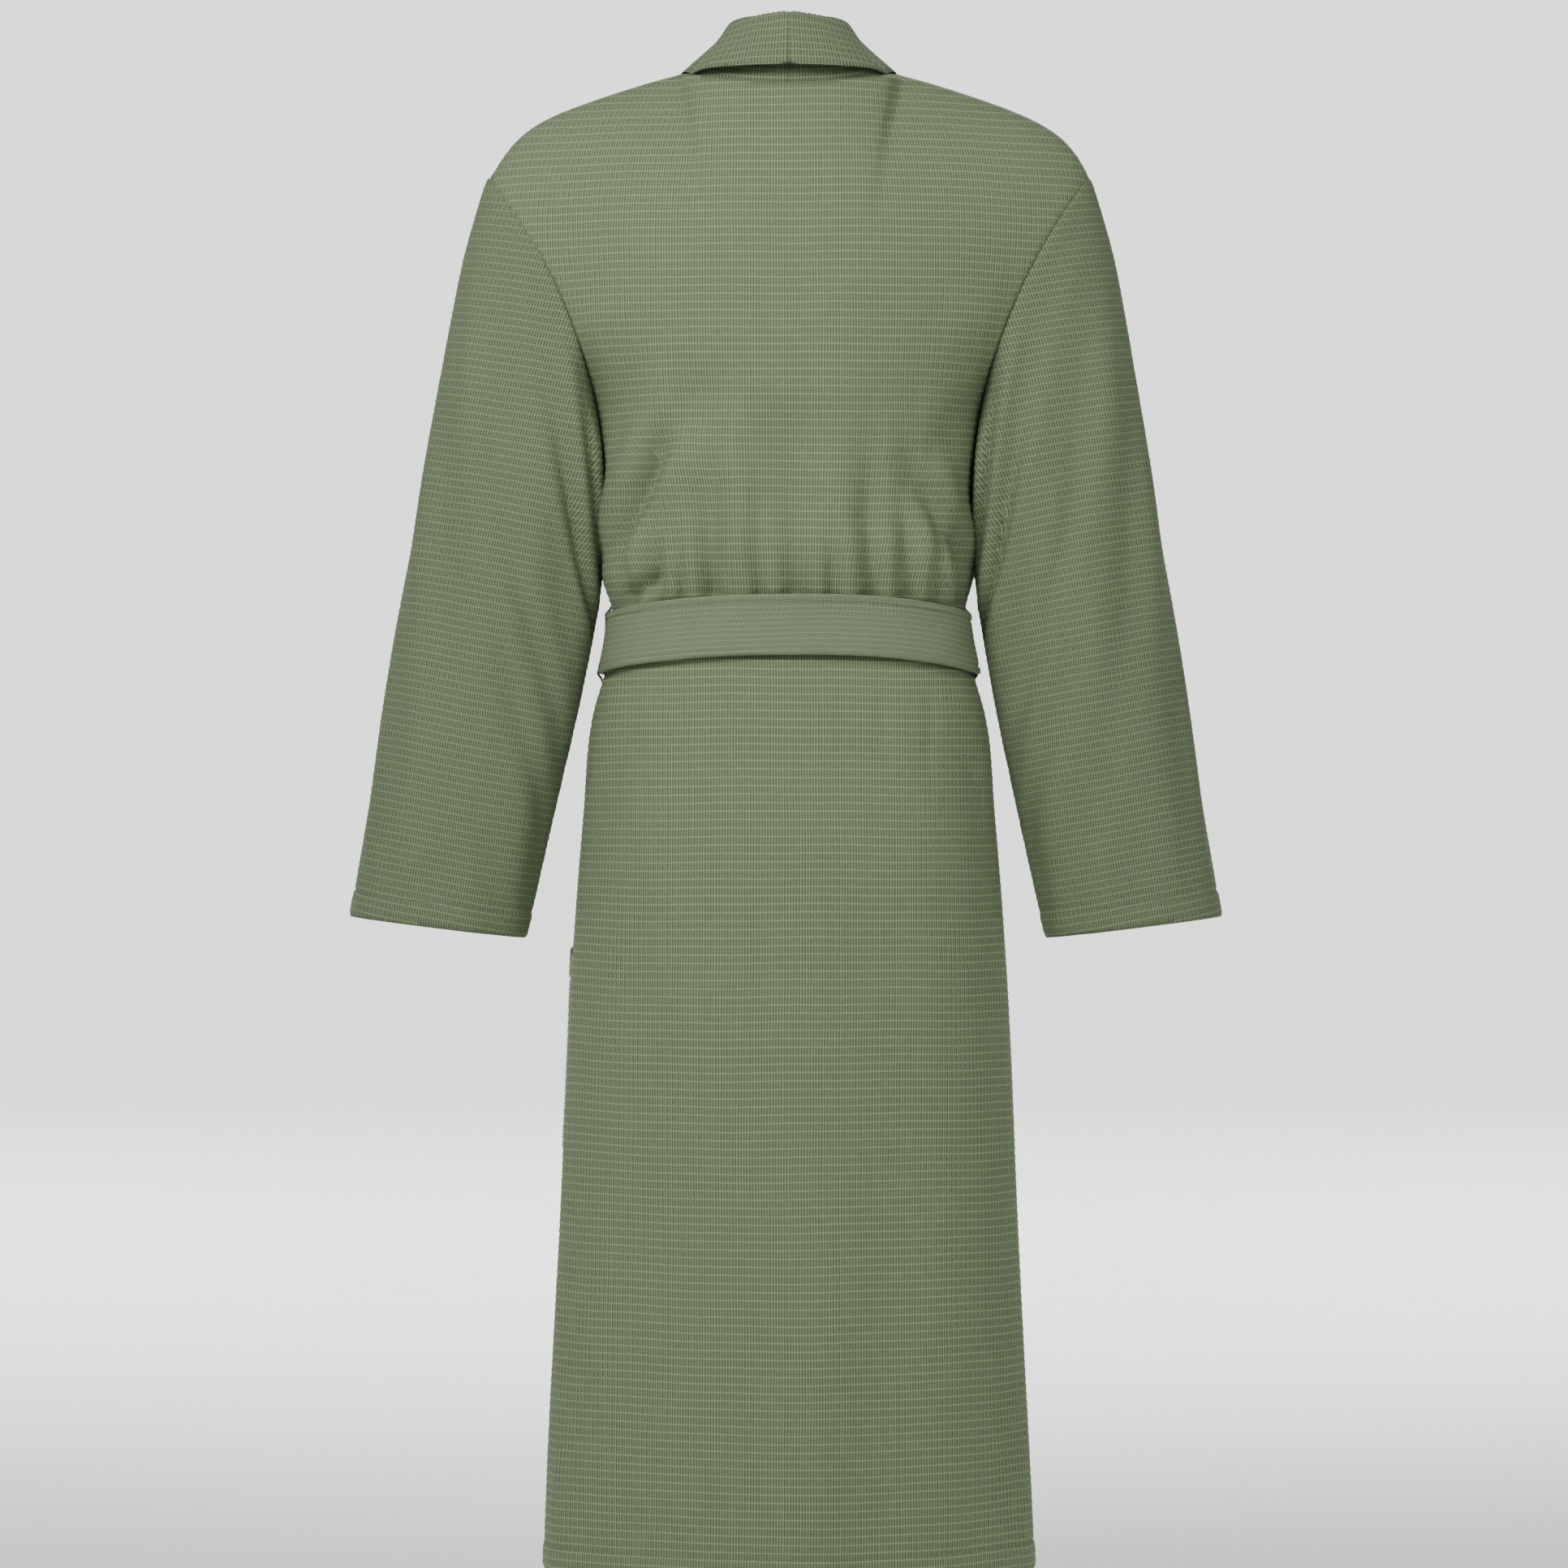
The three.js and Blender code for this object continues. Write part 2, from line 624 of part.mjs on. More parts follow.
// A tape sewn by both ends at the neckline, hanging down inside the back.
function makeHangerLoop() {
  const outer = hangerEndX;
  const inner = hangerHalfWidth - hangerTapeWidth / 2;
  const drop = hangerDrop;
  const shape = new THREE.Shape();
  shape.moveTo(-outer, 1);
  shape.lineTo(-outer, -drop + hangerBend);
  shape.quadraticCurveTo(-outer, -drop, -outer + hangerBend, -drop);
  shape.lineTo(outer - hangerBend, -drop);
  shape.quadraticCurveTo(outer, -drop, outer, -drop + hangerBend);
  shape.lineTo(outer, 1);
  shape.lineTo(inner, 1);
  shape.lineTo(inner, -drop + hangerBend);
  shape.quadraticCurveTo(inner, -drop + hangerTapeWidth, inner - hangerBend / 3, -drop + hangerTapeWidth);
  shape.lineTo(-inner + hangerBend / 3, -drop + hangerTapeWidth);
  shape.quadraticCurveTo(-inner, -drop + hangerTapeWidth, -inner, -drop + hangerBend);
  shape.lineTo(-inner, 1);
  const geometry = new THREE.ExtrudeGeometry(shape, {
    depth: tapeThickness,
    curveSegments: 3,
    bevelEnabled: false,
  });
  geometry.rotateX(quarterTurn);
  return geometry.translate(0, hangerHinge.y + tapeThickness / 2, hangerHinge.z);
}

// A blank label on the inside of the back, under the hanger loop.
function makeNeckLabel() {
  return bentSlab(4, 2, (u, v, w) => {
    const down = downAt(-(neckLabelDrop + v * neckLabelHeight));
    const across = acrossAt((u - 0.5) * neckLabelWidth, halfWidthAt(down));
    const lift = -(clothThickness / 2 + 2.5 * layerGap + labelThickness * w);
    return backPoint(across, down, lift);
  });
}

// A blank label sewn by one edge into the left side seam, standing into the robe.
function makeCareLabel() {
  const seamX = bodyHalfWidth(-careLabelDrop) - clothThickness / 2 - layerGap;
  const geometry = new THREE.BoxGeometry(careLabelWidth, labelThickness, careLabelHeight);
  return geometry.translate(seamX - careLabelWidth / 2, 0, -careLabelDrop - careLabelHeight / 2);
}

addPiece("back_panel", makeBack(), waffle);
addPiece("left_front_panel", makeFront(1), waffle);
addPiece("right_front_panel", makeFront(-1), waffle);
addPiece("left_sleeve", makeSleeve(1), waffle);
addPiece("right_sleeve", makeSleeve(-1), waffle);
addPiece("left_collar", makeCollar(1), waffle);
addPiece("right_collar", makeCollar(-1), waffle);
addPiece("belt_band", makeBeltBand(), beltCloth);
addPiece("belt_knot", makeKnot(), beltCloth);
addPiece("belt_left_tail", makeTail(1), beltCloth);
addPiece("belt_right_tail", makeTail(-1), beltCloth);
addPiece("left_belt_loop", makeBeltLoop(1), waffle);
addPiece("right_belt_loop", makeBeltLoop(-1), waffle);
addPiece("left_pocket", makePocket(1), waffle);
addPiece("right_pocket", makePocket(-1), waffle);
addPiece("hanger_loop", makeHangerLoop(), tape);
addPiece("neck_label", makeNeckLabel(), labelCloth);
addPiece("care_label", makeCareLabel(), labelCloth);

export default robe;
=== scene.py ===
import math

import bpy
import numpy as np
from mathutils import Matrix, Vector
from mathutils.bvhtree import BVHTree


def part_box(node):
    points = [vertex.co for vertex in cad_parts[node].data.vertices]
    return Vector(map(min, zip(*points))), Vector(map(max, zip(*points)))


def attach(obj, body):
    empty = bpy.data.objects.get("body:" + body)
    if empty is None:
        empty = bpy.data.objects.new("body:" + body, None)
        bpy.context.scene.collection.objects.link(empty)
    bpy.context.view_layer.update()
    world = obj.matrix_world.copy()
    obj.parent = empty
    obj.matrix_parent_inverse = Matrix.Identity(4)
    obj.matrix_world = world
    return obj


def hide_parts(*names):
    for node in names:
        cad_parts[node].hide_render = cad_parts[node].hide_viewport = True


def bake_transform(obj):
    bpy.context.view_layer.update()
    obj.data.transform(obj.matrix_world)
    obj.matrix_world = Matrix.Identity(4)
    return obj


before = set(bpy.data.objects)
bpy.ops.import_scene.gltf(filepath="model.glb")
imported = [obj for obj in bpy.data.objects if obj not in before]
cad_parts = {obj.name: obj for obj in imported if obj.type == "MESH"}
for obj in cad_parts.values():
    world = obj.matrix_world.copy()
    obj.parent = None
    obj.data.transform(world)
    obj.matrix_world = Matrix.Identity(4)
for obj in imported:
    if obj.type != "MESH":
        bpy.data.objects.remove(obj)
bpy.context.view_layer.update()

# Lengths are in millimetres until a mesh is made. +Z is up and +Y is the wearer's back.
metre = 0.001
quarterTurn = math.pi / 2
print("stage: frame loaded")


robe = {
    "neckHalfWidth": 88, "backNeckDepth": 65, "frontNeckDepth": 55, "backNeckScoop": 13,
    "shoulderHalfWidth": 242, "shoulderDrop": 83, "armpit": 333, "waist": 450, "length": 1200,
    "chestHalfWidth": 148, "armholeHalfDepth": 54, "squareness": 2.3, "shoulderRound": 0.5,
    "heights": [-1200, -1105, -922, -719, -600, -512, -484, -440, -398, -333],
    "halfWidths": [194, 191, 183, 174, 165, 156, 148, 141, 148, 148],
    "backDepths": [140, 139, 135, 131, 126, 108, 100, 94, 104, 112],
    "frontDepths": [136, 132, 127, 121, 116, 104, 100, 98, 105, 120],
    "waistWrap": 70, "hemWrap": 76, "cloth": 2.8, "hem": 21,
    "shoulderSlope": 0.62, "shoulderTurnPower": 8,
}


def smooth(x, low, high):
    share = np.clip((np.asarray(x, float) - low) / (high - low), 0, 1)
    return share * share * (3 - 2 * share)


def mix(a, b, share):
    return a + (b - a) * share


def hump(x, middle, width):
    return np.exp(-(((x - middle) / width) ** 2))


# A smooth curve through values, with its slope at each knot taken from the knots beside it.
def spline(x, knots, values):
    knots, values = np.asarray(knots, float), np.asarray(values, float)
    slopes = np.gradient(values, knots)
    x = np.clip(x, knots[0], knots[-1])
    i = np.clip(np.searchsorted(knots, x) - 1, 0, len(knots) - 2)
    width = knots[i + 1] - knots[i]
    f = (x - knots[i]) / width
    return (
        (2 * f**3 - 3 * f**2 + 1) * values[i] + (f**3 - 2 * f**2 + f) * width * slopes[i]
        + (3 * f**2 - 2 * f**3) * values[i + 1] + (f**3 - f**2) * width * slopes[i + 1]
    )


def heightAt(down):
    below = mix(-robe["armpit"], -robe["length"], np.asarray(down, float) - 1)
    return np.where(np.asarray(down) <= 1, -robe["armpit"] * np.asarray(down, float), below)


def downAt(height):
    drop = -np.asarray(height, float)
    span = robe["length"] - robe["armpit"]
    return np.where(drop <= robe["armpit"], drop / robe["armpit"], 1 + (drop - robe["armpit"]) / span)


def halfWidthAt(down):
    yoke = robe["chestHalfWidth"]
    yoke = yoke + (robe["shoulderHalfWidth"] - yoke) * (1 - np.minimum(down, 1)) ** 2
    return np.where(np.asarray(down) > 1, spline(heightAt(down), robe["heights"], robe["halfWidths"]), yoke)


def acrossAt(x, halfWidth):
    share = np.clip(x / halfWidth, -1, 1)
    return np.sign(share) * np.arcsin(np.abs(share) ** (robe["squareness"] / 2)) / quarterTurn


# The armhole turns in under the arm, so that a deep fold opens between the sleeve and the body.
def armholeDepth(down):
    down = np.clip(down, 0, 1)
    tuck = 1 - 0.8 * smooth(down, 0.5, 0.8)
    return robe["armholeHalfDepth"] * 2 * np.sqrt(down * (1 - down)) * tuck


# Across runs from -1 to 1 between the side seams, down from 0 at the shoulder line to 2 at the hem.
def bodySurface(across, down, face):
    across, down = np.broadcast_arrays(np.asarray(across, float), np.asarray(down, float))
    turn = np.sin(across * quarterTurn)
    width = np.sign(turn) * np.abs(turn) ** (2 / robe["squareness"])
    closing = np.maximum(0, 1 - np.abs(width) ** robe["squareness"])
    depths = robe["backDepths"] if face > 0 else robe["frontDepths"]
    low = spline(heightAt(down), robe["heights"], depths) * closing ** (1 / robe["squareness"])
    seamX = robe["shoulderHalfWidth"] * width
    armhole = armholeDepth(down)
    fullness = np.sin(np.clip(down / robe["shoulderRound"], 0, 1) * quarterTurn) ** 0.75
    centre = depths[-1] * fullness
    neckDepth = robe["backNeckDepth"] if face > 0 else robe["frontNeckDepth"]
    inNeck = np.maximum(0, 1 - (seamX / robe["neckHalfWidth"]) ** 2)
    high = armhole + (centre - armhole) * closing ** mix(1, 1 / robe["squareness"], smooth(down, 0.3, 1))
    high = high + neckDepth * np.sqrt(inNeck) * (1 - fullness)
    past = np.abs(seamX) - robe["neckHalfWidth"]
    share = np.clip(past / (robe["shoulderHalfWidth"] - robe["neckHalfWidth"]), 0, 1)
    turnDown = mix(share ** robe["shoulderTurnPower"], share**1.15, robe["shoulderSlope"])
    slope = -robe["shoulderDrop"] * turnDown
    scoop = robe["backNeckScoop"] if face > 0 else 0
    line = np.where(past > 0, slope, -scoop * inNeck)
    y = np.where(down > 1, low, high)
    z = np.where(down > 1, heightAt(down), mix(line, -robe["armpit"], down))
    return np.stack([halfWidthAt(down) * width, face * y, z], axis=-1)


def sideName(hand):
    return "left" if hand > 0 else "right"


def unit(vectors):
    return vectors / (np.linalg.norm(vectors, axis=-1, keepdims=True) + 1e-12)


def bodyNormal(across, down, face):
    step = 2e-3
    left, right = np.clip(across - step, -1, 1), np.clip(across + step, -1, 1)
    low, high = np.clip(down - step, 0, 2), np.clip(down + step, 0, 2)
    alongRow = bodySurface(right, down, face) - bodySurface(left, down, face)
    downRow = bodySurface(across, high, face) - bodySurface(across, low, face)
    spot = bodySurface(across, down, face)
    outward = np.stack([spot[..., 0], spot[..., 1], 30 + np.maximum(0, 40 + spot[..., 2])], axis=-1)
    normal = np.cross(alongRow, downRow)
    facing = np.sign((normal * outward).sum(-1, keepdims=True))
    return unit(normal * np.where(facing == 0, 1, facing))


def edgeX(down):
    drop = -heightAt(down)
    upper = mix(robe["neckHalfWidth"], -robe["waistWrap"], drop / robe["waist"])
    lowShare = (drop - robe["waist"]) / (robe["length"] - robe["waist"])
    return np.where(drop < robe["waist"], upper, mix(-robe["waistWrap"], -robe["hemWrap"], lowShare))


wrapLift = 9.4


# The left front is the upper one and rises over the right front and its collar.
def frontLift(across, down):
    return wrapLift * smooth(1 - across, 0, 0.36) * smooth(down, 0.12, 0.58)


def frontSpot(across, down, lift, upper):
    across, down = np.broadcast_arrays(np.asarray(across, float), np.asarray(down, float))
    over = frontLift(across, down) if upper else 0
    reach = np.asarray(lift + over, float)[..., None]
    return bodySurface(across, down, -1) + bodyNormal(across, down, -1) * reach


sideNumber = {"left": 0, "right": 1, "top": 2, "bottom": 3}


def gridNormals(points, outward):
    normal = unit(np.cross(np.gradient(points, axis=1), np.gradient(points, axis=0)))
    return -normal if (normal * outward).sum() < 0 else normal


# How far each point of a line lies along it.
def travelAlong(line):
    return np.concatenate([[0], np.cumsum(np.linalg.norm(np.diff(line, axis=0), axis=1))])


# The same for every row of a grid, from the lengths of its steps.
def travelInRows(steps):
    return np.concatenate([np.zeros((len(steps), 1)), np.cumsum(steps, axis=1)], axis=1)


# Where each grid point lay on the flat cloth: t along the grain, s across it.
# Without a grain, s follows the rows.
def flatten(points, grain, startColumn, startS):
    step = np.diff(points, axis=1)
    if grain is None:
        t = travelAlong(points[:, points.shape[1] // 2])
        s = travelInRows(np.linalg.norm(step, axis=-1))
        s = s - s[:, startColumn : startColumn + 1]
        return np.stack([s, np.broadcast_to(t[:, None], s.shape)], axis=-1)
    grain = np.asarray(grain, float)
    across = np.sqrt(np.maximum((step**2).sum(-1) - (step @ grain) ** 2, 1e-6))
    s = travelInRows(across)
    s = s - s[:, startColumn : startColumn + 1] + np.reshape(startS, (-1, 1))
    return np.stack([s, points @ grain], axis=-1)


# The distance from each grid point to each of the grid's four edges.
def edgeDistances(points):
    rows = np.linalg.norm(np.diff(points, axis=1), axis=-1)
    columns = np.linalg.norm(np.diff(points, axis=0), axis=-1)
    left, top = travelInRows(rows), travelInRows(columns.T).T
    return np.stack([left, left[:, -1:] - left, top, top[-1:] - top], axis=-1)


# The four corners of every cell in a grid of numbers.
def cellsOf(number):
    cells = np.stack([number[:-1, :-1], number[:-1, 1:], number[1:, 1:], number[1:, :-1]], axis=-1)
    return cells.reshape(-1, 4)


def outlineOf(rows, cols):
    index = np.arange(rows * cols).reshape(rows, cols)
    return np.concatenate([index[0, :-1], index[:-1, -1], index[-1, :0:-1], index[:0:-1, 0]])


def boundaryEdges(faces):
    edges = np.concatenate([np.stack([f, np.roll(f, -1, axis=1)], -1).reshape(-1, 2) for f in faces])
    size = int(edges.max()) + 1
    forward = edges[:, 0] * size + edges[:, 1]
    backward = edges[:, 1] * size + edges[:, 0]
    return edges[~np.isin(forward, backward)]


# Takes away corner triangles until every edge vertex has one edge in and one out.
def trimPinches(faces):
    for _ in range(12):
        edges = boundaryEdges(faces)
        starts, counts = np.unique(edges[:, 0], return_counts=True)
        bad = starts[counts > 1]
        if not len(bad):
            break
        touching = [np.isin(f, bad).any(axis=1) for f in faces]
        if touching[1].any():
            faces = [faces[0], faces[1][~touching[1]]]
        else:
            faces = [faces[0][~touching[0]], faces[1]]
    return faces, edges


def longestLoop(edges):
    following = dict(edges.tolist())
    loops = []
    while following:
        start, spot = next(iter(following.items()))
        del following[start]
        loop = [start]
        while spot != start:
            loop.append(spot)
            spot = following.pop(spot)
        loops.append(loop)
    return max(loops, key=len)


# Lays a lattice of that pitch on the flat cloth and cuts it to the cloth's outline.
def cutLattice(flat, pitch, wobble):
    rows, cols = flat.shape[:2]
    index = np.arange(rows * cols).reshape(rows, cols)
    cells = cellsOf(index)
    triangles = np.concatenate([cells[:, [0, 1, 2]], cells[:, [0, 2, 3]]])
    spots = flat.reshape(-1, 2)
    tree = BVHTree.FromPolygons([(x, y, 0.0) for x, y in spots.tolist()], triangles.tolist())
    low = np.floor(spots.min(0) / pitch).astype(int)
    high = np.ceil(spots.max(0) / pitch).astype(int)
    i, j = np.meshgrid(np.arange(low[0], high[0] + 1), np.arange(low[1], high[1] + 1))
    place = np.stack([i * pitch[0], j * pitch[1]], axis=-1) + wobble(i * pitch[0], j * pitch[1])
    near = 0.45 * min(pitch)
    hit = np.full(i.size, -1)
    found = np.zeros((i.size, 2))
    for n, (x, y) in enumerate(place.reshape(-1, 2).tolist()):
        spot, _, face, away = tree.find_nearest((x, y, 0.0), near)
        if face is not None:
            hit[n] = face
            found[n] = spot.x, spot.y
    kept = (hit >= 0).reshape(i.shape)
    number = np.full(i.shape, -1)
    number[kept] = np.arange(kept.sum())
    four = cellsOf(number)
    missing = (four < 0).sum(axis=1)
    three = four[missing == 1]
    faces = [four[missing == 0], three[three >= 0].reshape(-1, 3)]
    faces, edges = trimPinches(faces)
    loop = np.array(longestLoop(edges))
    tri = triangles[hit[hit >= 0]]
    p, q, r = (spots[tri[:, k]] for k in range(3))
    x = found[hit >= 0]
    area = (q[:, 0] - p[:, 0]) * (r[:, 1] - p[:, 1]) - (r[:, 0] - p[:, 0]) * (q[:, 1] - p[:, 1])
    wq = ((x[:, 0] - p[:, 0]) * (r[:, 1] - p[:, 1]) - (r[:, 0] - p[:, 0]) * (x[:, 1] - p[:, 1])) / area
    wr = ((q[:, 0] - p[:, 0]) * (x[:, 1] - p[:, 1]) - (x[:, 0] - p[:, 0]) * (q[:, 1] - p[:, 1])) / area
    weights = np.stack([1 - wq - wr, wq, wr], axis=1)
    outline = outlineOf(rows, cols)
    ends = spots[outline]
    gaps = np.roll(ends, -1, axis=0) - ends
    lengths = np.maximum(np.linalg.norm(gaps, axis=1), 1e-9)
    starts = np.concatenate([[0], np.cumsum(lengths)[:-1]])
    sigma = np.zeros(len(loop))
    loopPlace = place[kept][loop]
    for n, spot in enumerate(loopPlace):
        share = np.clip(((spot - ends) * gaps).sum(1) / lengths**2, 0, 1)
        away = ((ends + gaps * share[:, None] - spot) ** 2).sum(1)
        k = int(away.argmin())
        v = loop[n]
        tri[v] = outline[k], outline[(k + 1) % len(outline)], outline[k]
        weights[v] = 1 - share[k], share[k], 0
        sigma[n] = starts[k] + share[k] * lengths[k]
    used = np.zeros(int(kept.sum()), bool)
    for f in faces:
        used[f.ravel()] = True
    renumber = np.cumsum(used) - 1
    return {
        "faces": [renumber[f] for f in faces], "loop": renumber[loop], "sigma": sigma,
        "around": float(lengths.sum()), "corners": tri[used], "weights": weights[used],
        "steps": np.stack([i[kept], j[kept]], axis=1)[used],
    }


def spread(cut, values):
    flatValues = values.reshape(-1, values.shape[-1])
    return (flatValues[cut["corners"]] * cut["weights"][..., None]).sum(axis=1)


# Joins the edges of the outer and inner faces with a rim.
def zipLoops(outer, inner):
    def inOrder(cut):
        loop, sigma = cut["loop"], cut["sigma"]
        forward = (np.diff(sigma) > 0).sum() > len(sigma) / 2
        travel = sigma if forward else cut["around"] - sigma
        first = int(travel.argmin())
        loop, travel = np.roll(loop, -first), np.roll(travel, -first)
        travel = np.maximum.accumulate(travel)
        return np.append(loop, loop[0]), np.append(travel, travel[0] + cut["around"])

    a, travelA = inOrder(outer)
    b, travelB = inOrder(inner)
    rim, k, m = [], 0, 0
    while k < len(a) - 1 or m < len(b) - 1:
        if m == len(b) - 1 or (k < len(a) - 1 and travelA[k + 1] <= travelB[m + 1]):
            rim.append((a[k + 1], a[k], -1 - b[m]))
            k += 1
        else:
            rim.append((a[k], -1 - b[m], -1 - b[m + 1]))
            m += 1
    rim = np.array(rim)
    return np.where(rim < 0, -1 - rim + len(outer["weights"]), rim)


def addObject(name, data):
    made = bpy.data.objects.new(name, data)
    bpy.context.collection.objects.link(made)
    return made


def makeObject(name, points, faces, uvs=None):
    mesh = bpy.data.meshes.new(name)
    polygons = [row for f in faces for row in f.tolist()]
    mesh.from_pydata((points * metre).tolist(), [], polygons)
    if uvs is not None:
        layer = mesh.uv_layers.new(name="grain")
        corners = np.zeros(len(mesh.loops), int)
        mesh.loops.foreach_get("vertex_index", corners)
        layer.data.foreach_set("uv", uvs[corners].astype(np.float32).ravel())
    mesh.polygons.foreach_set("use_smooth", np.ones(len(mesh.polygons), bool))
    mesh.update()
    return addObject(name, mesh)


def noWobble(s, t):
    return np.zeros(s.shape + (2,))


# Hand-made cloth isn't quite straight: its rows and columns wander a little.
def weaveWobble(s, t):
    acrossWander = 0.3 * np.sin(t / 61 + s / 97) + 0.15 * np.sin(t / 17 + 1.3 * np.sin(s / 40))
    alongWander = 0.7 * np.sin(s / 48 + t / 130) + 0.25 * np.sin(s / 15 + 2 * np.sin(t / 70))
    return np.stack([acrossWander, alongWander], axis=-1)


def edgeShape(offset, distances, edges):
    for side, (kind, width) in edges.items():
        d = distances[:, sideNumber[side]]
        if kind == "seam":
            offset = offset * smooth(d, 0, 4) - 1.5 * hump(d, 0, 2.4)
        elif kind == "hem":
            thicker = 0.8 * (1 - smooth(d, width - 0.5, width + 2.5))
            offset = offset * mix(0.8, 1, smooth(d, width, width + 3)) + thicker
            offset = offset - 1.1 * hump(d, width + 0.8, 1.9) - 1.3 * hump(d, 0, 1.6)
        elif kind == "fold":
            offset = offset * mix(0.6, 1, smooth(d, 0, 5)) - 0.9 * hump(d, 0, 2)
    return offset


# Points is a grid of the cloth's middle surface. The outer side gets ribs and pits,
# and the inner side is plain.
def clothPiece(name, points, outward, settings, grain=(0, 0, -1), startColumn=0, startS=0.0):
    flat = flatten(points, grain, startColumn, startS)
    normals = gridNormals(points, outward)
    distances = edgeDistances(points)
    cell = np.array(settings["cell"], float)
    wobble = weaveWobble if settings.get("wobble", True) else noWobble
    outer = cutLattice(flat, cell / 2, wobble)
    inner = cutLattice(flat, cell * settings.get("innerCells", 1.5), noWobble)
    odd = outer["steps"] % 2 == 1
    relief = -settings["pit"] * (odd[:, 0] & odd[:, 1])
    relief = relief - settings["pit"] * 0.16 * (odd[:, 0] & ~odd[:, 1])
    relief = relief - settings["pit"] * 0.34 * (~odd[:, 0] & odd[:, 1])
    rng = np.random.default_rng(len(name) * 7 + 3)
    relief = relief * rng.uniform(0.82, 1.18, len(relief)) + rng.normal(0, 0.05, len(relief))
    relief = edgeShape(relief, spread(outer, distances), settings["edges"])
    half = settings["thickness"] / 2
    outerPoints = spread(outer, points) + unit(spread(outer, normals)) * (half + relief)[:, None]
    innerInset = edgeShape(np.zeros(len(inner["weights"])), spread(inner, distances), settings["edges"])
    innerPoints = spread(inner, points) - unit(spread(inner, normals)) * (half + innerInset * 0.4)[:, None]
    rim = zipLoops(outer, inner)
    count = len(outerPoints)
    innerFaces = [f[:, ::-1] + count for f in inner["faces"]]
    allPoints = np.concatenate([outerPoints, innerPoints])
    faces = [outer["faces"][0], outer["faces"][1], innerFaces[0], innerFaces[1], rim]
    first = outer["faces"][0]
    p = outerPoints[first[:, :3]]
    faceNormals = np.cross(p[:, 1] - p[:, 0], p[:, 2] - p[:, 0])
    if (faceNormals * spread(outer, normals)[first[:, 0]]).sum() < 0:
        faces = [f[:, ::-1] for f in faces]
    uvs = np.concatenate([outer["steps"] / 2, inner["steps"] * settings.get("innerCells", 1.5)])
    if settings.get("turned"):
        uvs = uvs[:, ::-1]
    made = makeObject(name, allPoints, [f for f in faces if len(f)], uvs)
    outline = flat.reshape(-1, 2)[outlineOf(*flat.shape[:2])]
    following = np.roll(outline, -1, axis=0)
    area = abs((outline[:, 0] * following[:, 1] - following[:, 0] * outline[:, 1]).sum()) / 2
    size = outline.max(0) - outline.min(0)
    triangles = sum(len(f) * (f.shape[1] - 2) for f in faces if len(f))
    print(f"piece {name}: {triangles} triangles, flat {size[0]:.0f} by {size[1]:.0f} mm")
    cloth = {"piece": made, "points": points, "normals": normals, "distances": distances}
    cloth["flat"] = [size[0] * metre, size[1] * metre]
    cloth["area"] = area * metre**2
    return cloth


# The line on a cloth that lies a set distance in from one of its edges.
def lineInside(cloth, side, inset, lift):
    def fromEdge(grid):
        grid = grid.swapaxes(0, 1) if side in ("left", "right") else grid
        return grid[::-1] if side in ("right", "bottom") else grid

    d = fromEdge(cloth["distances"][..., sideNumber[side]])
    normals = fromEdge(cloth["normals"])
    raised = fromEdge(cloth["points"]) + normals * lift
    k = np.clip((d < inset).sum(axis=0), 1, len(d) - 1)
    n = np.arange(d.shape[1])
    share = np.clip((inset - d[k - 1, n]) / (d[k, n] - d[k - 1, n] + 1e-9), 0, 1)[:, None]
    return mix(raised[k - 1, n], raised[k, n], share), normals[k, n]


stitch = {"pitch": 3.1, "length": 2.3, "radius": 0.33}


def makeStitches(name, lines):
    points, faces = [], []
    for line, normals in lines:
        travel = travelAlong(line)
        places = np.arange(stitch["pitch"], travel[-1] - stitch["pitch"], stitch["pitch"])
        middle = np.stack([np.interp(places, travel, line[:, k]) for k in range(3)], 1)
        ahead = np.stack([np.interp(places + 0.5, travel, line[:, k]) for k in range(3)], 1)
        up = unit(np.stack([np.interp(places, travel, normals[:, k]) for k in range(3)], 1))
        along = unit(ahead - middle)
        side = unit(np.cross(along, up))
        half, radius = stitch["length"] / 2, stitch["radius"]
        ends = [middle - along * half - up * radius, middle + along * half - up * radius]
        ring = [middle + side * radius, middle + up * radius, middle - side * radius, middle - up * radius]
        start = sum(len(p) for p in points)
        points.append(np.stack(ends + ring, axis=1).reshape(-1, 3))
        base = start + 6 * np.arange(len(places))[:, None]
        for k in range(4):
            a, b = 2 + k, 2 + (k + 1) % 4
            faces.append(base + np.array([[0, a, b]]))
            faces.append(base + np.array([[1, b, a]]))
    return makeObject(name, np.concatenate(points), [np.concatenate(faces)])


def addNode(tree, kind, **inputs):
    node = tree.nodes.new(kind)
    for key, value in inputs.items():
        if key in ("operation", "interpolation_type", "data_type", "uv_map"):
            setattr(node, key, value)
            continue
        socket = node.inputs[int(key[1:])] if key[0] == "n" and key[1:].isdigit() else node.inputs[key]
        if isinstance(value, bpy.types.NodeSocket):
            tree.links.new(value, socket)
        else:
            socket.default_value = value
    return node


def maths(tree, operation, a, b=0.0):
    return addNode(tree, "ShaderNodeMath", operation=operation, n0=a, n1=b).outputs[0]


def ramp(tree, value, low, high, toLow=0.0, toHigh=1.0):
    node = addNode(tree, "ShaderNodeMapRange", interpolation_type="SMOOTHSTEP", n0=value)
    for k, number in enumerate((low, high, toLow, toHigh)):
        node.inputs[k + 1].default_value = number
    return node.outputs[0]


# A colour as a screen gives it, turned into the linear values that a shader reads.
def fromScreen(red, green, blue):
    parts = [c / 255 for c in (red, green, blue)]
    return [c / 12.92 if c <= 0.04045 else ((c + 0.055) / 1.055) ** 2.4 for c in parts]


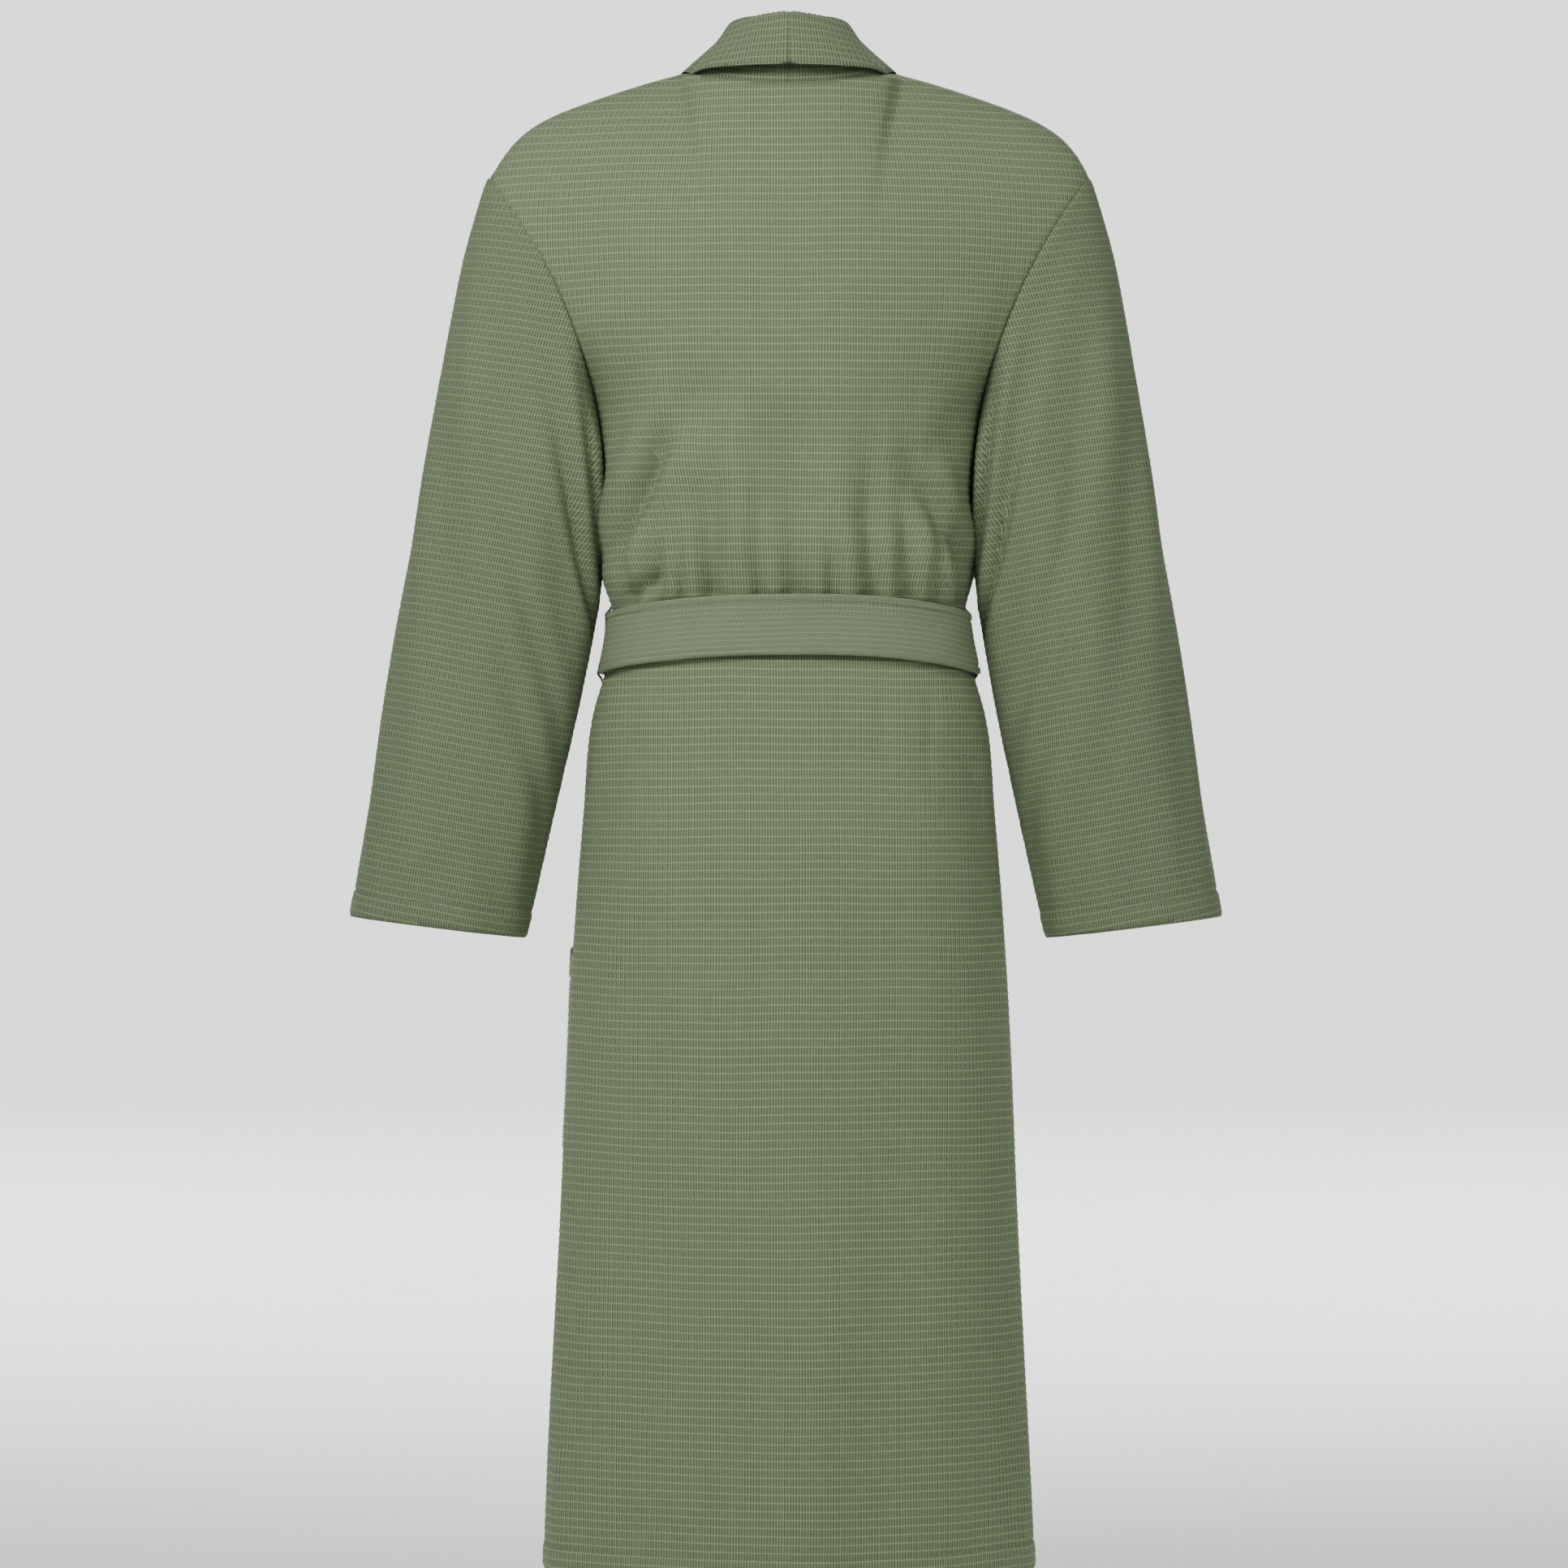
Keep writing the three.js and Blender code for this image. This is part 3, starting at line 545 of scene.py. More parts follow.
def newMaterial(name):
    material = bpy.data.materials.new(name)
    material.use_nodes = True
    tree = material.node_tree
    place = addNode(tree, "ShaderNodeTexCoord").outputs["Object"]
    return material, tree, tree.nodes["Principled BSDF"], place


# Cotton whose colour and fine thread relief follow the cells that the mesh stands up in. Its colour also
# carries painted shade in the pits and painted highlight on the ribs.
def weaveMaterial(name, settings):
    material, tree, shader, place = newMaterial(name)
    grain = addNode(tree, "ShaderNodeUVMap", uv_map="grain")
    parts = addNode(tree, "ShaderNodeSeparateXYZ", n0=grain.outputs[0])
    u, v = parts.outputs[0], parts.outputs[1]
    toRibU = maths(tree, "PINGPONG", u, 0.5)
    toRibV = maths(tree, "PINGPONG", v, 0.5)
    slub = addNode(tree, "ShaderNodeTexNoise", Vector=grain.outputs[0], Scale=1.7, Detail=2.0).outputs[0]
    ribU = ramp(tree, toRibU, 0.04, 0.17, 1.0, 0.0)
    ribV = ramp(tree, toRibV, 0.03, 0.14, 1.0, 0.0)
    # Painted shade: the pits are darkened, most at their left and right sides.
    inPit = maths(tree, "SUBTRACT", 1.0, maths(tree, "MAXIMUM", ribU, ribV))
    pitSide = ramp(tree, toRibU, 0.14, 0.46, 1.0, 0.15)
    shade = maths(tree, "MULTIPLY", maths(tree, "MULTIPLY", pitSide, inPit), -settings["pitShade"])
    # Painted highlight: the ribs are lightened.
    light = maths(tree, "ADD", maths(tree, "MULTIPLY", ribV, settings["ribLight"] * 0.3),
                  maths(tree, "MULTIPLY", ribU, settings["ribLight"]))
    patches = addNode(tree, "ShaderNodeTexNoise", Vector=place, Scale=7.0, Detail=3.0).outputs[0]
    threads = addNode(tree, "ShaderNodeTexNoise", Vector=place, Scale=1500.0, Detail=2.0).outputs[0]
    tone = maths(tree, "ADD", maths(tree, "ADD", shade, light), 1.0)
    for noise, strength in ((slub, 0.16), (patches, settings["patches"]), (threads, 0.26)):
        swing = maths(tree, "MULTIPLY", maths(tree, "SUBTRACT", noise, 0.5), strength)
        tone = maths(tree, "ADD", tone, swing)
    colour = addNode(tree, "ShaderNodeMix", data_type="RGBA")
    colour.inputs["A"].default_value = (*settings["colour"], 1)
    colour.inputs["B"].default_value = (*settings["secondColour"], 1)
    tree.links.new(patches, colour.inputs["Factor"])
    scaled = addNode(tree, "ShaderNodeVectorMath", operation="SCALE", n0=colour.outputs["Result"])
    tree.links.new(tone, scaled.inputs["Scale"])
    tree.links.new(scaled.outputs[0], shader.inputs["Base Color"])
    warp = maths(tree, "PINGPONG", maths(tree, "MULTIPLY", u, settings["threads"]), 0.5)
    weft = maths(tree, "PINGPONG", maths(tree, "MULTIPLY", v, settings["threads"] * 1.4), 0.5)
    height = maths(tree, "ADD", maths(tree, "ADD", warp, weft), threads)
    bump = addNode(tree, "ShaderNodeBump", Strength=0.35, Distance=0.0002, Height=height)
    tree.links.new(bump.outputs[0], shader.inputs["Normal"])
    shader.inputs["Roughness"].default_value = settings["roughness"]
    shader.inputs["Specular IOR Level"].default_value = 0.22
    shader.inputs["Sheen Weight"].default_value = settings["sheen"]
    shader.inputs["Sheen Roughness"].default_value = 0.45
    shader.inputs["Sheen Tint"].default_value = (*settings["sheenTint"], 1)
    return material


def plainMaterial(name, colour, roughness, noiseScale, swing):
    material, tree, shader, place = newMaterial(name)
    noise = addNode(tree, "ShaderNodeTexNoise", Vector=place, Scale=noiseScale, Detail=3.0).outputs[0]
    tone = ramp(tree, noise, 0.2, 0.8, 1 - swing, 1 + swing)
    scaled = addNode(tree, "ShaderNodeVectorMath", operation="SCALE", n0=(*colour,))
    tree.links.new(tone, scaled.inputs["Scale"])
    tree.links.new(scaled.outputs[0], shader.inputs["Base Color"])
    bump = addNode(tree, "ShaderNodeBump", Strength=0.3, Distance=0.0002, Height=noise)
    tree.links.new(bump.outputs[0], shader.inputs["Normal"])
    shader.inputs["Roughness"].default_value = roughness
    return material


waffleLook = {
    "colour": fromScreen(132, 147, 112), "secondColour": fromScreen(125, 142, 107), "pitShade": 0.62,
    "ribLight": 0.2, "patches": 0.12, "threads": 7, "roughness": 0.92, "sheen": 0.1,
    "sheenTint": (0.8, 0.9, 0.75),
}
# A darker copy of the same cotton: painted shade for the sleeves and the collar, which take less light.
shadedLook = dict(waffleLook, colour=fromScreen(121, 136, 104), secondColour=fromScreen(116, 132, 100))
beltLook = dict(waffleLook, pitShade=0.5, ribLight=0.2, colour=fromScreen(131, 146, 114),
                secondColour=fromScreen(126, 142, 110))
waffleCotton = weaveMaterial("waffleCotton", waffleLook)
shadedCotton = weaveMaterial("shadedCotton", shadedLook)
beltCotton = weaveMaterial("beltCotton", beltLook)
threadCotton = plainMaterial("threadCotton", fromScreen(134, 146, 116), 0.8, 900, 0.15)
tapeCotton = plainMaterial("tapeCotton", fromScreen(112, 126, 98), 0.85, 1200, 0.2)
labelCloth = plainMaterial("labelCloth", fromScreen(226, 222, 208), 0.6, 1500, 0.05)
print("stage: materials made")


def finishPiece(made, body, node, material):
    made.data.materials.append(material)
    if body:
        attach(made, body)
    if node:
        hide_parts(node)
    return made


# Makes the left and the right piece of a pair. In the names, {} stands for the side.
def makePair(maker, node, material, body="robe_body"):
    pair = [maker(1), maker(-1)]
    for cloth, side in zip(pair, ("left", "right")):
        finishPiece(cloth["piece"], body.format(side), node.format(side), material)
    return pair


back = {
    "columns": 141, "rows": 241, "cell": (4.5, 6.6), "pit": 1.35, "thickness": robe["cloth"],
    "innerCells": 2, "beltTop": -419,
    "edges": {"left": ("seam", 0), "right": ("seam", 0), "top": ("seam", 0), "bottom": ("hem", robe["hem"])},
    # gathers over the belt: place across, height they reach, depth, width
    "gathers": [
        (-138, 130, 9.4, 7), (-93, 190, 8.0, 9), (-64, 200, 8.7, 8), (-5, 230, 7.2, 11), (-34, 70, 4.6, 6),
        (22, 150, 6.4, 7), (61, 210, 9.4, 8), (84, 70, 5.2, 5), (103, 100, 7.2, 7),
        (128, 55, 5.2, 5), (-116, 100, 6.1, 6),
    ],
    # long creases: upper end, lower end, depth, width
    "creases": [
        ((101, -296), (140, -392), 13.0, 10), ((100, -405), (124, -424), 5.5, 6),
        ((-108, -330), (-141, -402), 9.0, 10), ((62, -250), (120, -330), 3.2, 16),
    ],
}


# Depth of a valley that runs between two points and fades at both ends.
def crease(x, z, upper, lower, depth, width):
    (x0, z0), (x1, z1) = upper, lower
    length = math.hypot(x1 - x0, z1 - z0)
    along = ((x - x0) * (x1 - x0) + (z - z0) * (z1 - z0)) / length
    aside = ((x - x0) * (z1 - z0) - (z - z0) * (x1 - x0)) / length
    fade = smooth(along, -0.25 * length, 0.35 * length) * (1 - smooth(along, 0.85 * length, 1.15 * length))
    ridge = 0.45 * hump(aside, 1.9 * width, width) + 0.45 * hump(aside, -1.9 * width, width)
    return depth * fade * (ridge - hump(aside, 0, width))


# How far the cloth's folds stand out from the body: gathers and creases above the belt,
# small puckers under it and long waves down the skirt.
def bodyFolds(x, z, face):
    move = np.zeros_like(x)
    height = z - back["beltTop"]
    for place, reach, depth, width in back["gathers"]:
        place = place if face > 0 else -0.8 * place
        fade = smooth(height, -24, 2) * (1 - smooth(height, 0.2 * reach, reach))
        drift = place * (1 + height / 2600)
        spreadWidth = width * (1 + np.clip(height, 0, 200) / 130)
        ridge = 0.4 * hump(x, drift + 1.8 * spreadWidth, spreadWidth)
        move += depth * fade * (ridge - hump(x, drift, spreadWidth))
    if face > 0:
        for upper, lower, depth, width in back["creases"]:
            move += crease(x, z, upper, lower, depth, width)
    move += 4.5 * hump(z, -388, 34) - 2.5 * hump(z, -459, 30)
    low = smooth(-z, 480, 1150)
    start = smooth(-z, 470, 560)
    move += start * (0.8 + 2.6 * low) * np.sin(x / 33 + 0.9 * np.sin(z / 230) + 0.6 * face)
    move += start * (0.3 + 1.3 * low) * np.sin(x / 15.5 + 1.7 * np.sin(z / 190) + 2)
    underBelt = smooth(-z, 484, 500) * (1 - smooth(-z, 520, 600))
    for place in (-112, -74, -31, 12, 47, 86, 128):
        move += 1.2 * hump(x, place, 6) * underBelt * (1 if place % 2 else -1)
    move += 1.6 * smooth(z, -330, -120) * np.sin(x / 44 + z / 120) * (1 - smooth(z, -70, -30))
    return move


def bodyGrid(face, acrossRow, upper=False):
    downs = downAt(-np.linspace(0, robe["length"], back["rows"]))[:, None]
    across = acrossRow(downs)
    points = bodySurface(across, downs, face)
    normals = bodyNormal(across, np.broadcast_to(downs, across.shape), face)
    move = bodyFolds(points[..., 0], points[..., 2], face)
    seamFade = smooth(1 - np.abs(across), 0.0, 0.12)
    lift = move * seamFade
    if face < 0 and upper:
        lift = lift + frontLift(across, downs)
    return points + normals * lift[..., None]


settling = {
    "every": 4, "frames": 16, "quality": 6, "mass": 0.35, "tension": 12, "bending": 0.35, "growth": 0.02,
    "most": 4.0, "smoothings": 3,
}


# Lets a coarse sheet hang from its pinned points for some frames, and gives back how far it moved.
def hangFreely(points, free):
    every = settling["every"]
    coarse = points[::every, ::every]
    rows, columns = coarse.shape[:2]
    quads = cellsOf(np.arange(rows * columns).reshape(rows, columns))
    mesh = bpy.data.meshes.new("hanging")
    mesh.from_pydata((coarse.reshape(-1, 3) * metre).tolist(), [], quads.tolist())
    hanging = addObject("hanging", mesh)
    pins = hanging.vertex_groups.new(name="pins")
    for spot, share in enumerate(free[::every, ::every].ravel().tolist()):
        pins.add([spot], 1 - share, "REPLACE")
    cloth = hanging.modifiers.new("cloth", "CLOTH")
    cloth.settings.quality = settling["quality"]
    cloth.settings.mass = settling["mass"]
    for side in ("tension_stiffness", "compression_stiffness", "shear_stiffness"):
        setattr(cloth.settings, side, settling["tension"])
    cloth.settings.bending_stiffness = settling["bending"]
    cloth.settings.shrink_min = -settling["growth"]
    cloth.settings.vertex_group_mass = "pins"
    cloth.point_cache.frame_start = 1
    cloth.point_cache.frame_end = settling["frames"]
    for moment in range(1, settling["frames"] + 1):
        bpy.context.scene.frame_set(moment)
    hung = hanging.evaluated_get(bpy.context.evaluated_depsgraph_get()).data
    after = np.empty(rows * columns * 3)
    hung.vertices.foreach_get("co", after)
    bpy.context.scene.frame_set(1)
    bpy.data.objects.remove(hanging)
    return after.reshape(rows, columns, 3) / metre - coarse


# Smooths a coarse movement, keeps it within its limit and spreads it over the fine grid.
def softMove(move, shape):
    for _ in range(settling["smoothings"]):
        padded = np.pad(move, ((1, 1), (1, 1), (0, 0)), mode="edge")
        beside = padded[:-2, 1:-1] + padded[2:, 1:-1] + padded[1:-1, :-2] + padded[1:-1, 2:]
        move = 0.5 * move + 0.125 * beside
    size = np.linalg.norm(move, axis=-1, keepdims=True)
    move = move * np.minimum(1, settling["most"] / np.maximum(size, 1e-6))
    rowsAt = np.linspace(0, move.shape[0] - 1, shape[0])
    columnsAt = np.linspace(0, move.shape[1] - 1, shape[1])
    tall = np.stack([[np.interp(rowsAt, np.arange(len(move)), move[:, c, k]) for c in range(move.shape[1])]
                     for k in range(3)], axis=-1).transpose(1, 0, 2)
    wide = [[np.interp(columnsAt, np.arange(tall.shape[1]), row[:, k]) for k in range(3)] for row in tall]
    return np.array(wide).transpose(0, 2, 1)


# The back is free to hang except along its seams, under the collar and the belt.
def settleBack(points, across):
    z = points[..., 2]
    free = smooth(1 - np.abs(across), 0.06, 0.3) * smooth(-z, 120, 230)
    free = free * (1 - smooth(z, -560, -505) * (1 - smooth(z, -410, -370)))
    move = softMove(hangFreely(points, free), points.shape)
    print("stage: back hung, moved by up to", round(float(np.linalg.norm(move, axis=-1).max()), 2), "mm")
    return points + move * free[..., None]


def makeBack():
    side = np.linspace(-1, 1, back["columns"])[None, :]
    points = bodyGrid(1, lambda downs: np.broadcast_to(side, (len(downs), back["columns"])))
    points = settleBack(points, np.broadcast_to(side, points.shape[:2]))
    return clothPiece("back_cloth", points, np.array([0, 1, 0]), back, startColumn=back["columns"] // 2)


backCloth = makeBack()
finishPiece(backCloth["piece"], "robe_body", "back_panel", waffleCotton)
print("stage: back made")


front = {
    "columns": 101, "cell": (4.5, 6.6), "pit": 1.25, "thickness": robe["cloth"], "innerCells": 2,
    "edges": {"left": ("fold", 0), "right": ("seam", 0), "top": ("seam", 0), "bottom": ("hem", robe["hem"])},
}


def makeFront(hand):
    side = np.linspace(0, 1, front["columns"])[None, :]

    def acrossRow(downs):
        edge = acrossAt(edgeX(downs), halfWidthAt(downs))
        return mix(edge, 1, side)

    points = bodyGrid(-1, acrossRow, upper=hand > 0)
    points[..., 0] *= hand
    starts = points[:, 0, 0] * hand
    return clothPiece(sideName(hand) + "_front_cloth", points, np.array([0, -1, 0]), front, startS=starts)


leftFront, rightFront = makePair(makeFront, "{}_front_panel", waffleCotton)
print("stage: fronts made")


sleeve = {
    "around": 121, "along": 141, "cell": (4.1, 6.1), "pit": 1.15, "thickness": robe["cloth"],
    "innerCells": 2, "length": 606, "hang": math.radians(10.6), "cuffSlant": math.radians(7),
    "cuffWidth": 141, "cuffHalfDepth": 46, "elbowHalfDepth": 55, "rightTuckIn": 5,
    "joinMiddle": (196, -208), "joinWay": (0.94, -0.34), "joinStart": -4, "joinEnd": 75,
    "edges": {"left": ("seam", 0), "right": ("seam", 0), "top": ("seam", 0), "bottom": ("hem", 20)},
    # folds as turn in degrees, share along, tilt, depth, half width, half length
    "folds": [
        (128, 0.13, 0.5, 6.0, 11, 60), (142, 0.30, 0.7, 5.0, 10, 55), (110, 0.22, 0.55, 2.6, 14, 70),
        (70, 0.34, 0.35, 1.8, 16, 90), (118, 0.52, 0.5, 2.6, 13, 70), (60, 0.62, 0.3, 1.8, 16, 90),
        (132, 0.7, 0.45, 2.4, 12, 60), (40, 0.46, 0.3, 1.6, 18, 100), (95, 0.8, 0.35, 1.8, 15, 80),
        (-60, 0.3, -0.4, 3.0, 14, 80), (-120, 0.5, -0.5, 3.0, 13, 70), (-95, 0.7, -0.3, 2.4, 15, 80),
    ],
}
shoulderPoint = np.array([robe["shoulderHalfWidth"], 0, -robe["shoulderDrop"]], float)
armpitPoint = np.array([robe["chestHalfWidth"], 0, -robe["armpit"]], float)
hangWay = np.array([math.sin(sleeve["hang"]), 0, -math.cos(sleeve["hang"])])


def bezier(a, b, c, d, t):
    t = np.asarray(t, float)[..., None]
    return a * (1 - t) ** 3 + 3 * b * t * (1 - t) ** 2 + 3 * c * t**2 * (1 - t) + d * t**3


def sleeveSurface(turn, along):
    inward = np.array([-math.cos(sleeve["cuffSlant"]), 0, -math.sin(sleeve["cuffSlant"])])
    outerEnd = shoulderPoint + hangWay * sleeve["length"]
    innerEnd = outerEnd + inward * sleeve["cuffWidth"]
    outer = bezier(shoulderPoint, shoulderPoint + (33, 0, -87), outerEnd + (-49, 0, 279), outerEnd, along)
    inner = bezier(armpitPoint, armpitPoint + (-4, 0, -100), innerEnd + (-31, 0, 138), innerEnd, along)
    share = (1 - np.cos(turn)) / 2
    spot = mix(outer, inner, share[..., None])
    depth = mix(robe["armholeHalfDepth"], sleeve["elbowHalfDepth"], smooth(along, 0, 0.5))
    depth = depth + (sleeve["cuffHalfDepth"] - sleeve["elbowHalfDepth"]) * smooth(along, 0.5, 1)
    tuck = 1 - 0.8 * smooth(share, 0.5, 0.8) * (1 - smooth(along, 0, 0.075))
    spot[..., 1] = depth * np.sin(turn) * tuck
    chord = mix(robe["shoulderHalfWidth"], robe["chestHalfWidth"], share)
    spot[..., 0] += (halfWidthAt(share) - chord) * (1 - smooth(along, 0, 0.45))
    return spot


def sleeveFolds(turn, along, t, s):
    move = np.zeros_like(t)
    for angle, share, tilt, depth, width, length in sleeve["folds"]:
        ds = (turn - math.radians(angle)) * 62
        dt = (along - share) * sleeve["length"]
        aside = ds * math.cos(tilt) - dt * math.sin(tilt)
        lengthways = ds * math.sin(tilt) + dt * math.cos(tilt)
        ridges = 0.5 * hump(aside, 1.8 * width, width) + 0.5 * hump(aside, -1.8 * width, width)
        move += depth * hump(lengthways, 0, length) * (ridges - hump(aside, 0, width))
    move += 1.1 * np.sin(turn * 5 + t / 70) * smooth(along, 0.1, 0.3)
    move += 0.8 * np.sin(turn * 9 - t / 43 + 1) * smooth(along, 0.05, 0.3)
    return move


def makeSleeve(hand):
    turn = np.linspace(-math.pi, math.pi, sleeve["around"])[None, :]
    along = (np.linspace(0, 1, sleeve["along"]) ** 1.15)[:, None]
    turn, along = np.broadcast_arrays(turn, along)
    points = sleeveSurface(turn, along)
    middle = points.mean(axis=1, keepdims=True)
    outward = points - middle
    normals = gridNormals(points, outward)
    t = points @ hangWay
    fade = smooth(along, 0.0, 0.06) * (1 - 0.5 * smooth(along, 0.93, 1))
    keepSeam = smooth(math.pi - np.abs(turn), 0.0, 0.25)
    points = points + normals * (sleeveFolds(turn, along, t, turn) * fade * keepSeam)[..., None]
    grain = hangWay * (hand, 1, 1)
    if hand < 0:
        points[..., 0] -= sleeve["rightTuckIn"] * smooth(along, 0.1, 0.9)
    points, outward = points * (hand, 1, 1), outward * (hand, 1, 1)
    name = sideName(hand) + "_sleeve_cloth"
    return clothPiece(name, points, outward, sleeve, grain=grain, startColumn=sleeve["around"] // 2)


# Bakes the piece's placement into its mesh.
def joinSleeve(made):
    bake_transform(made)


leftSleeve = makeSleeve(1)
rightSleeve = makeSleeve(-1)
for cloth, hand in ((leftSleeve, 1), (rightSleeve, -1)):
    # The sleeves wear the darker copy of the cotton as painted shade.
    finishPiece(cloth["piece"], None, sideName(hand) + "_sleeve", shadedCotton)
    joinSleeve(cloth["piece"])
print("stage: sleeves made")


collar = {
    "rows": 221, "columns": 41, "cell": (6.6, 4.5), "pit": 1.0, "thickness": 2.6, "innerCells": 1.5,
    "turned": True, "backStand": 60, "sideStand": 37, "backFall": 42, "lapelWidth": 86,
    "lapelEndWidth": 24, "fold": 7, "lift": 4.4, "seamOverlap": 0.25,
    "edges": {"left": ("seam", 0), "right": ("fold", 0), "top": ("seam", 0), "bottom": ("fold", 0)},
}
fallShares = (0.25, 0.5, 0.75, 1.0)
collarEnd = float(downAt(-426))


def foldedSection(seam, fold, edge, room):
    rise = unit(fold - seam)
    outward = edge - seam
    outward = unit(outward - rise * (outward @ rise)) * room
    inner, outer = fold - outward, fold + outward
    points = [seam, mix(seam, inner, 0.5), inner, fold + rise * room, outer]
    return points + [mix(outer, edge, share) for share in fallShares]


def collarBack(share):
    turn = share * quarterTurn
    x, y = robe["neckHalfWidth"] * math.sin(turn), robe["backNeckDepth"] * math.cos(turn)
    seamRise = mix(-3.5, 4.0, share**3)
    inside = mix(0.965, 1, share**2)
    seam = np.array([x * inside, y * inside, seamRise - robe["backNeckScoop"] * math.cos(turn) ** 2])
    stand = mix(collar["backStand"], collar["sideStand"] + 6, share**1.5)
    lean = mix(12, 42, share)
    height = seam[2] + math.sqrt(stand**2 - lean**2)
    fold = np.array([x * (1 - lean / robe["neckHalfWidth"]), y - lean * math.cos(turn), height])
    fall = mix(collar["backFall"], collar["sideStand"] - 3, share)
    edge = np.array([x * mix(1.02, 0.955, share**2), y + 9 * math.cos(turn), height - fall])
    return foldedSection(seam, fold, edge, 2.4)


def collarFront(down, upper):
    halfWidth = float(halfWidthAt(down))
    start = float(edgeX(down))
    width = mix(collar["lapelWidth"], collar["lapelEndWidth"], float(smooth(down, 0.45, collarEnd)))
    reach = mix(30, width, float(smooth(down, 0, 0.35)))
    loose = 1 - float(smooth(down, 0, 0.42))
    rise = collar["lift"] + 8 * loose
    turned = start - collar["fold"]
    places = [
        (start - 1.2 - 4 * loose**2, 0), (start - 4.2 - 3 * loose**2, 0), (turned, rise * 0.15),
        (start - 1.25 * collar["fold"], rise * 0.55), (turned, rise + 7 * loose),
    ]
    for share in fallShares:
        places.append((mix(turned, start + reach, share), rise + 6 * loose * (1 - share)))
    return [frontSpot(acrossAt(x, halfWidth), down, lift, upper) for x, lift in places]


def makeCollar(hand):
    sections = [collarBack(share) for share in (0, 0.3, 0.6, 0.85)]
    sections += [collarFront(mix(0.1, collarEnd, k / 11), hand > 0) for k in range(12)]
    marks = np.array(sections, float)
    steps = np.linalg.norm(np.diff(marks[:, 4], axis=0), axis=1) ** 0.5
    knots = np.concatenate([[0], np.cumsum(steps)])
    rowsAt = np.linspace(0, knots[-1], collar["rows"])
    rails = np.stack([[spline(rowsAt, knots, marks[:, r, k]) for k in range(3)] for r in range(9)])
    rails = rails.transpose(2, 0, 1)
    shares = np.array([0, 1, 2, 2.5, 3, 4, 5, 6, 7], float)
    columnsAt = np.linspace(0, 7, collar["columns"])
    points = np.empty((collar["rows"], collar["columns"], 3))
    for row in range(collar["rows"]):
        for k in range(3):
            points[row, :, k] = spline(columnsAt, shares, rails[row, :, k])
    points[0, :, 0] = -collar["seamOverlap"]
    u = np.linspace(0, 1, collar["rows"])[:, None]
    outward = np.zeros_like(points)
    outward[:60, 25:] = points[:60, 25:] * (1, 1, 0)
    sway = 0.9 * np.sin(u * 21 + columnsAt * 0.7) * smooth(columnsAt, 2, 7) * smooth(u, 0.02, 0.2)
    points = points + gridNormals(points, outward) * sway[..., None]
    name = sideName(hand) + "_collar_cloth"
    return clothPiece(name, points * (hand, 1, 1), outward * (hand, 1, 1), collar, grain=None)


# The collar wears the darker copy of the cotton as painted shade.
leftCollar, rightCollar = makePair(makeCollar, "{}_collar", shadedCotton)
print("stage: collar made")


belt = {
    "around": 241, "rows": 25, "cell": (3.4, 4.4), "pit": 0.7, "thickness": 3.6, "innerCells": 2,
    "width": 50, "drop": 459, "backRise": 14, "off": 1.5 + 0.8 + 2.0, "stitchInset": 4.5,
    "edges": {"left": ("seam", 0), "right": ("seam", 0), "top": ("hem", 4.5), "bottom": ("hem", 4.5)},
}


# A spot over the belt's line round the body.
# Heights are from the belt's middle line, which is higher at the wearer's back.
def beltSpot(across, face, height, lift):
    across, height, lift = np.broadcast_arrays(across, np.asarray(height, float), np.asarray(lift, float))
    rise = belt["backRise"] * np.cos(across * quarterTurn) ** 2 if face > 0 else 0
    down = downAt(height + rise - belt["drop"])
    over = 0
    if face < 0:
        rightPart = wrapLift * smooth(across, -0.8, -0.36)
        over = np.where(across > 0, frontLift(across, down), rightPart)
    spot = bodySurface(across, down, face)
    return spot + bodyNormal(across, down, face) * (lift + over)[..., None]


def makeBelt():
    half = np.linspace(-1, 3, belt["around"])[None, :]
    height = np.linspace(belt["width"] / 2, -belt["width"] / 2, belt["rows"])[:, None]
    wave = 0.7 * np.sin(half * 7.3 + height / 30) + 0.45 * np.sin(half * 15.7 - height / 14)
    convex = 1.0 * (1 - (height / 25) ** 2)
    lift = belt["off"] + wave * 0.6 + convex
    height = height + 0.8 * np.sin(half * 5.1) + 0 * half
    across = np.where(half <= 2, 1 - half, half - 3)
    across = np.where(half < 0, 1 + half, across)
    backSide = beltSpot(np.clip(across, -1, 1), 1, height, lift)
    frontSide = beltSpot(np.clip(across, -1, 1), -1, height, lift)
    onBack = ((half >= 0) & (half <= 2))[..., None] & np.ones_like(height, bool)[..., None]
    points = np.where(onBack, backSide, frontSide)
    return clothPiece("belt_band_cloth", points, points * (1, 1, 0), belt, grain=None)


beltBand = makeBelt()
finishPiece(beltBand["piece"], "robe_body", "belt_band", beltCotton)
beltFrontY = float(beltBand["points"][..., 1].min()) - belt["thickness"] / 2

knot = {"width": 54, "height": 52, "depth": 24}


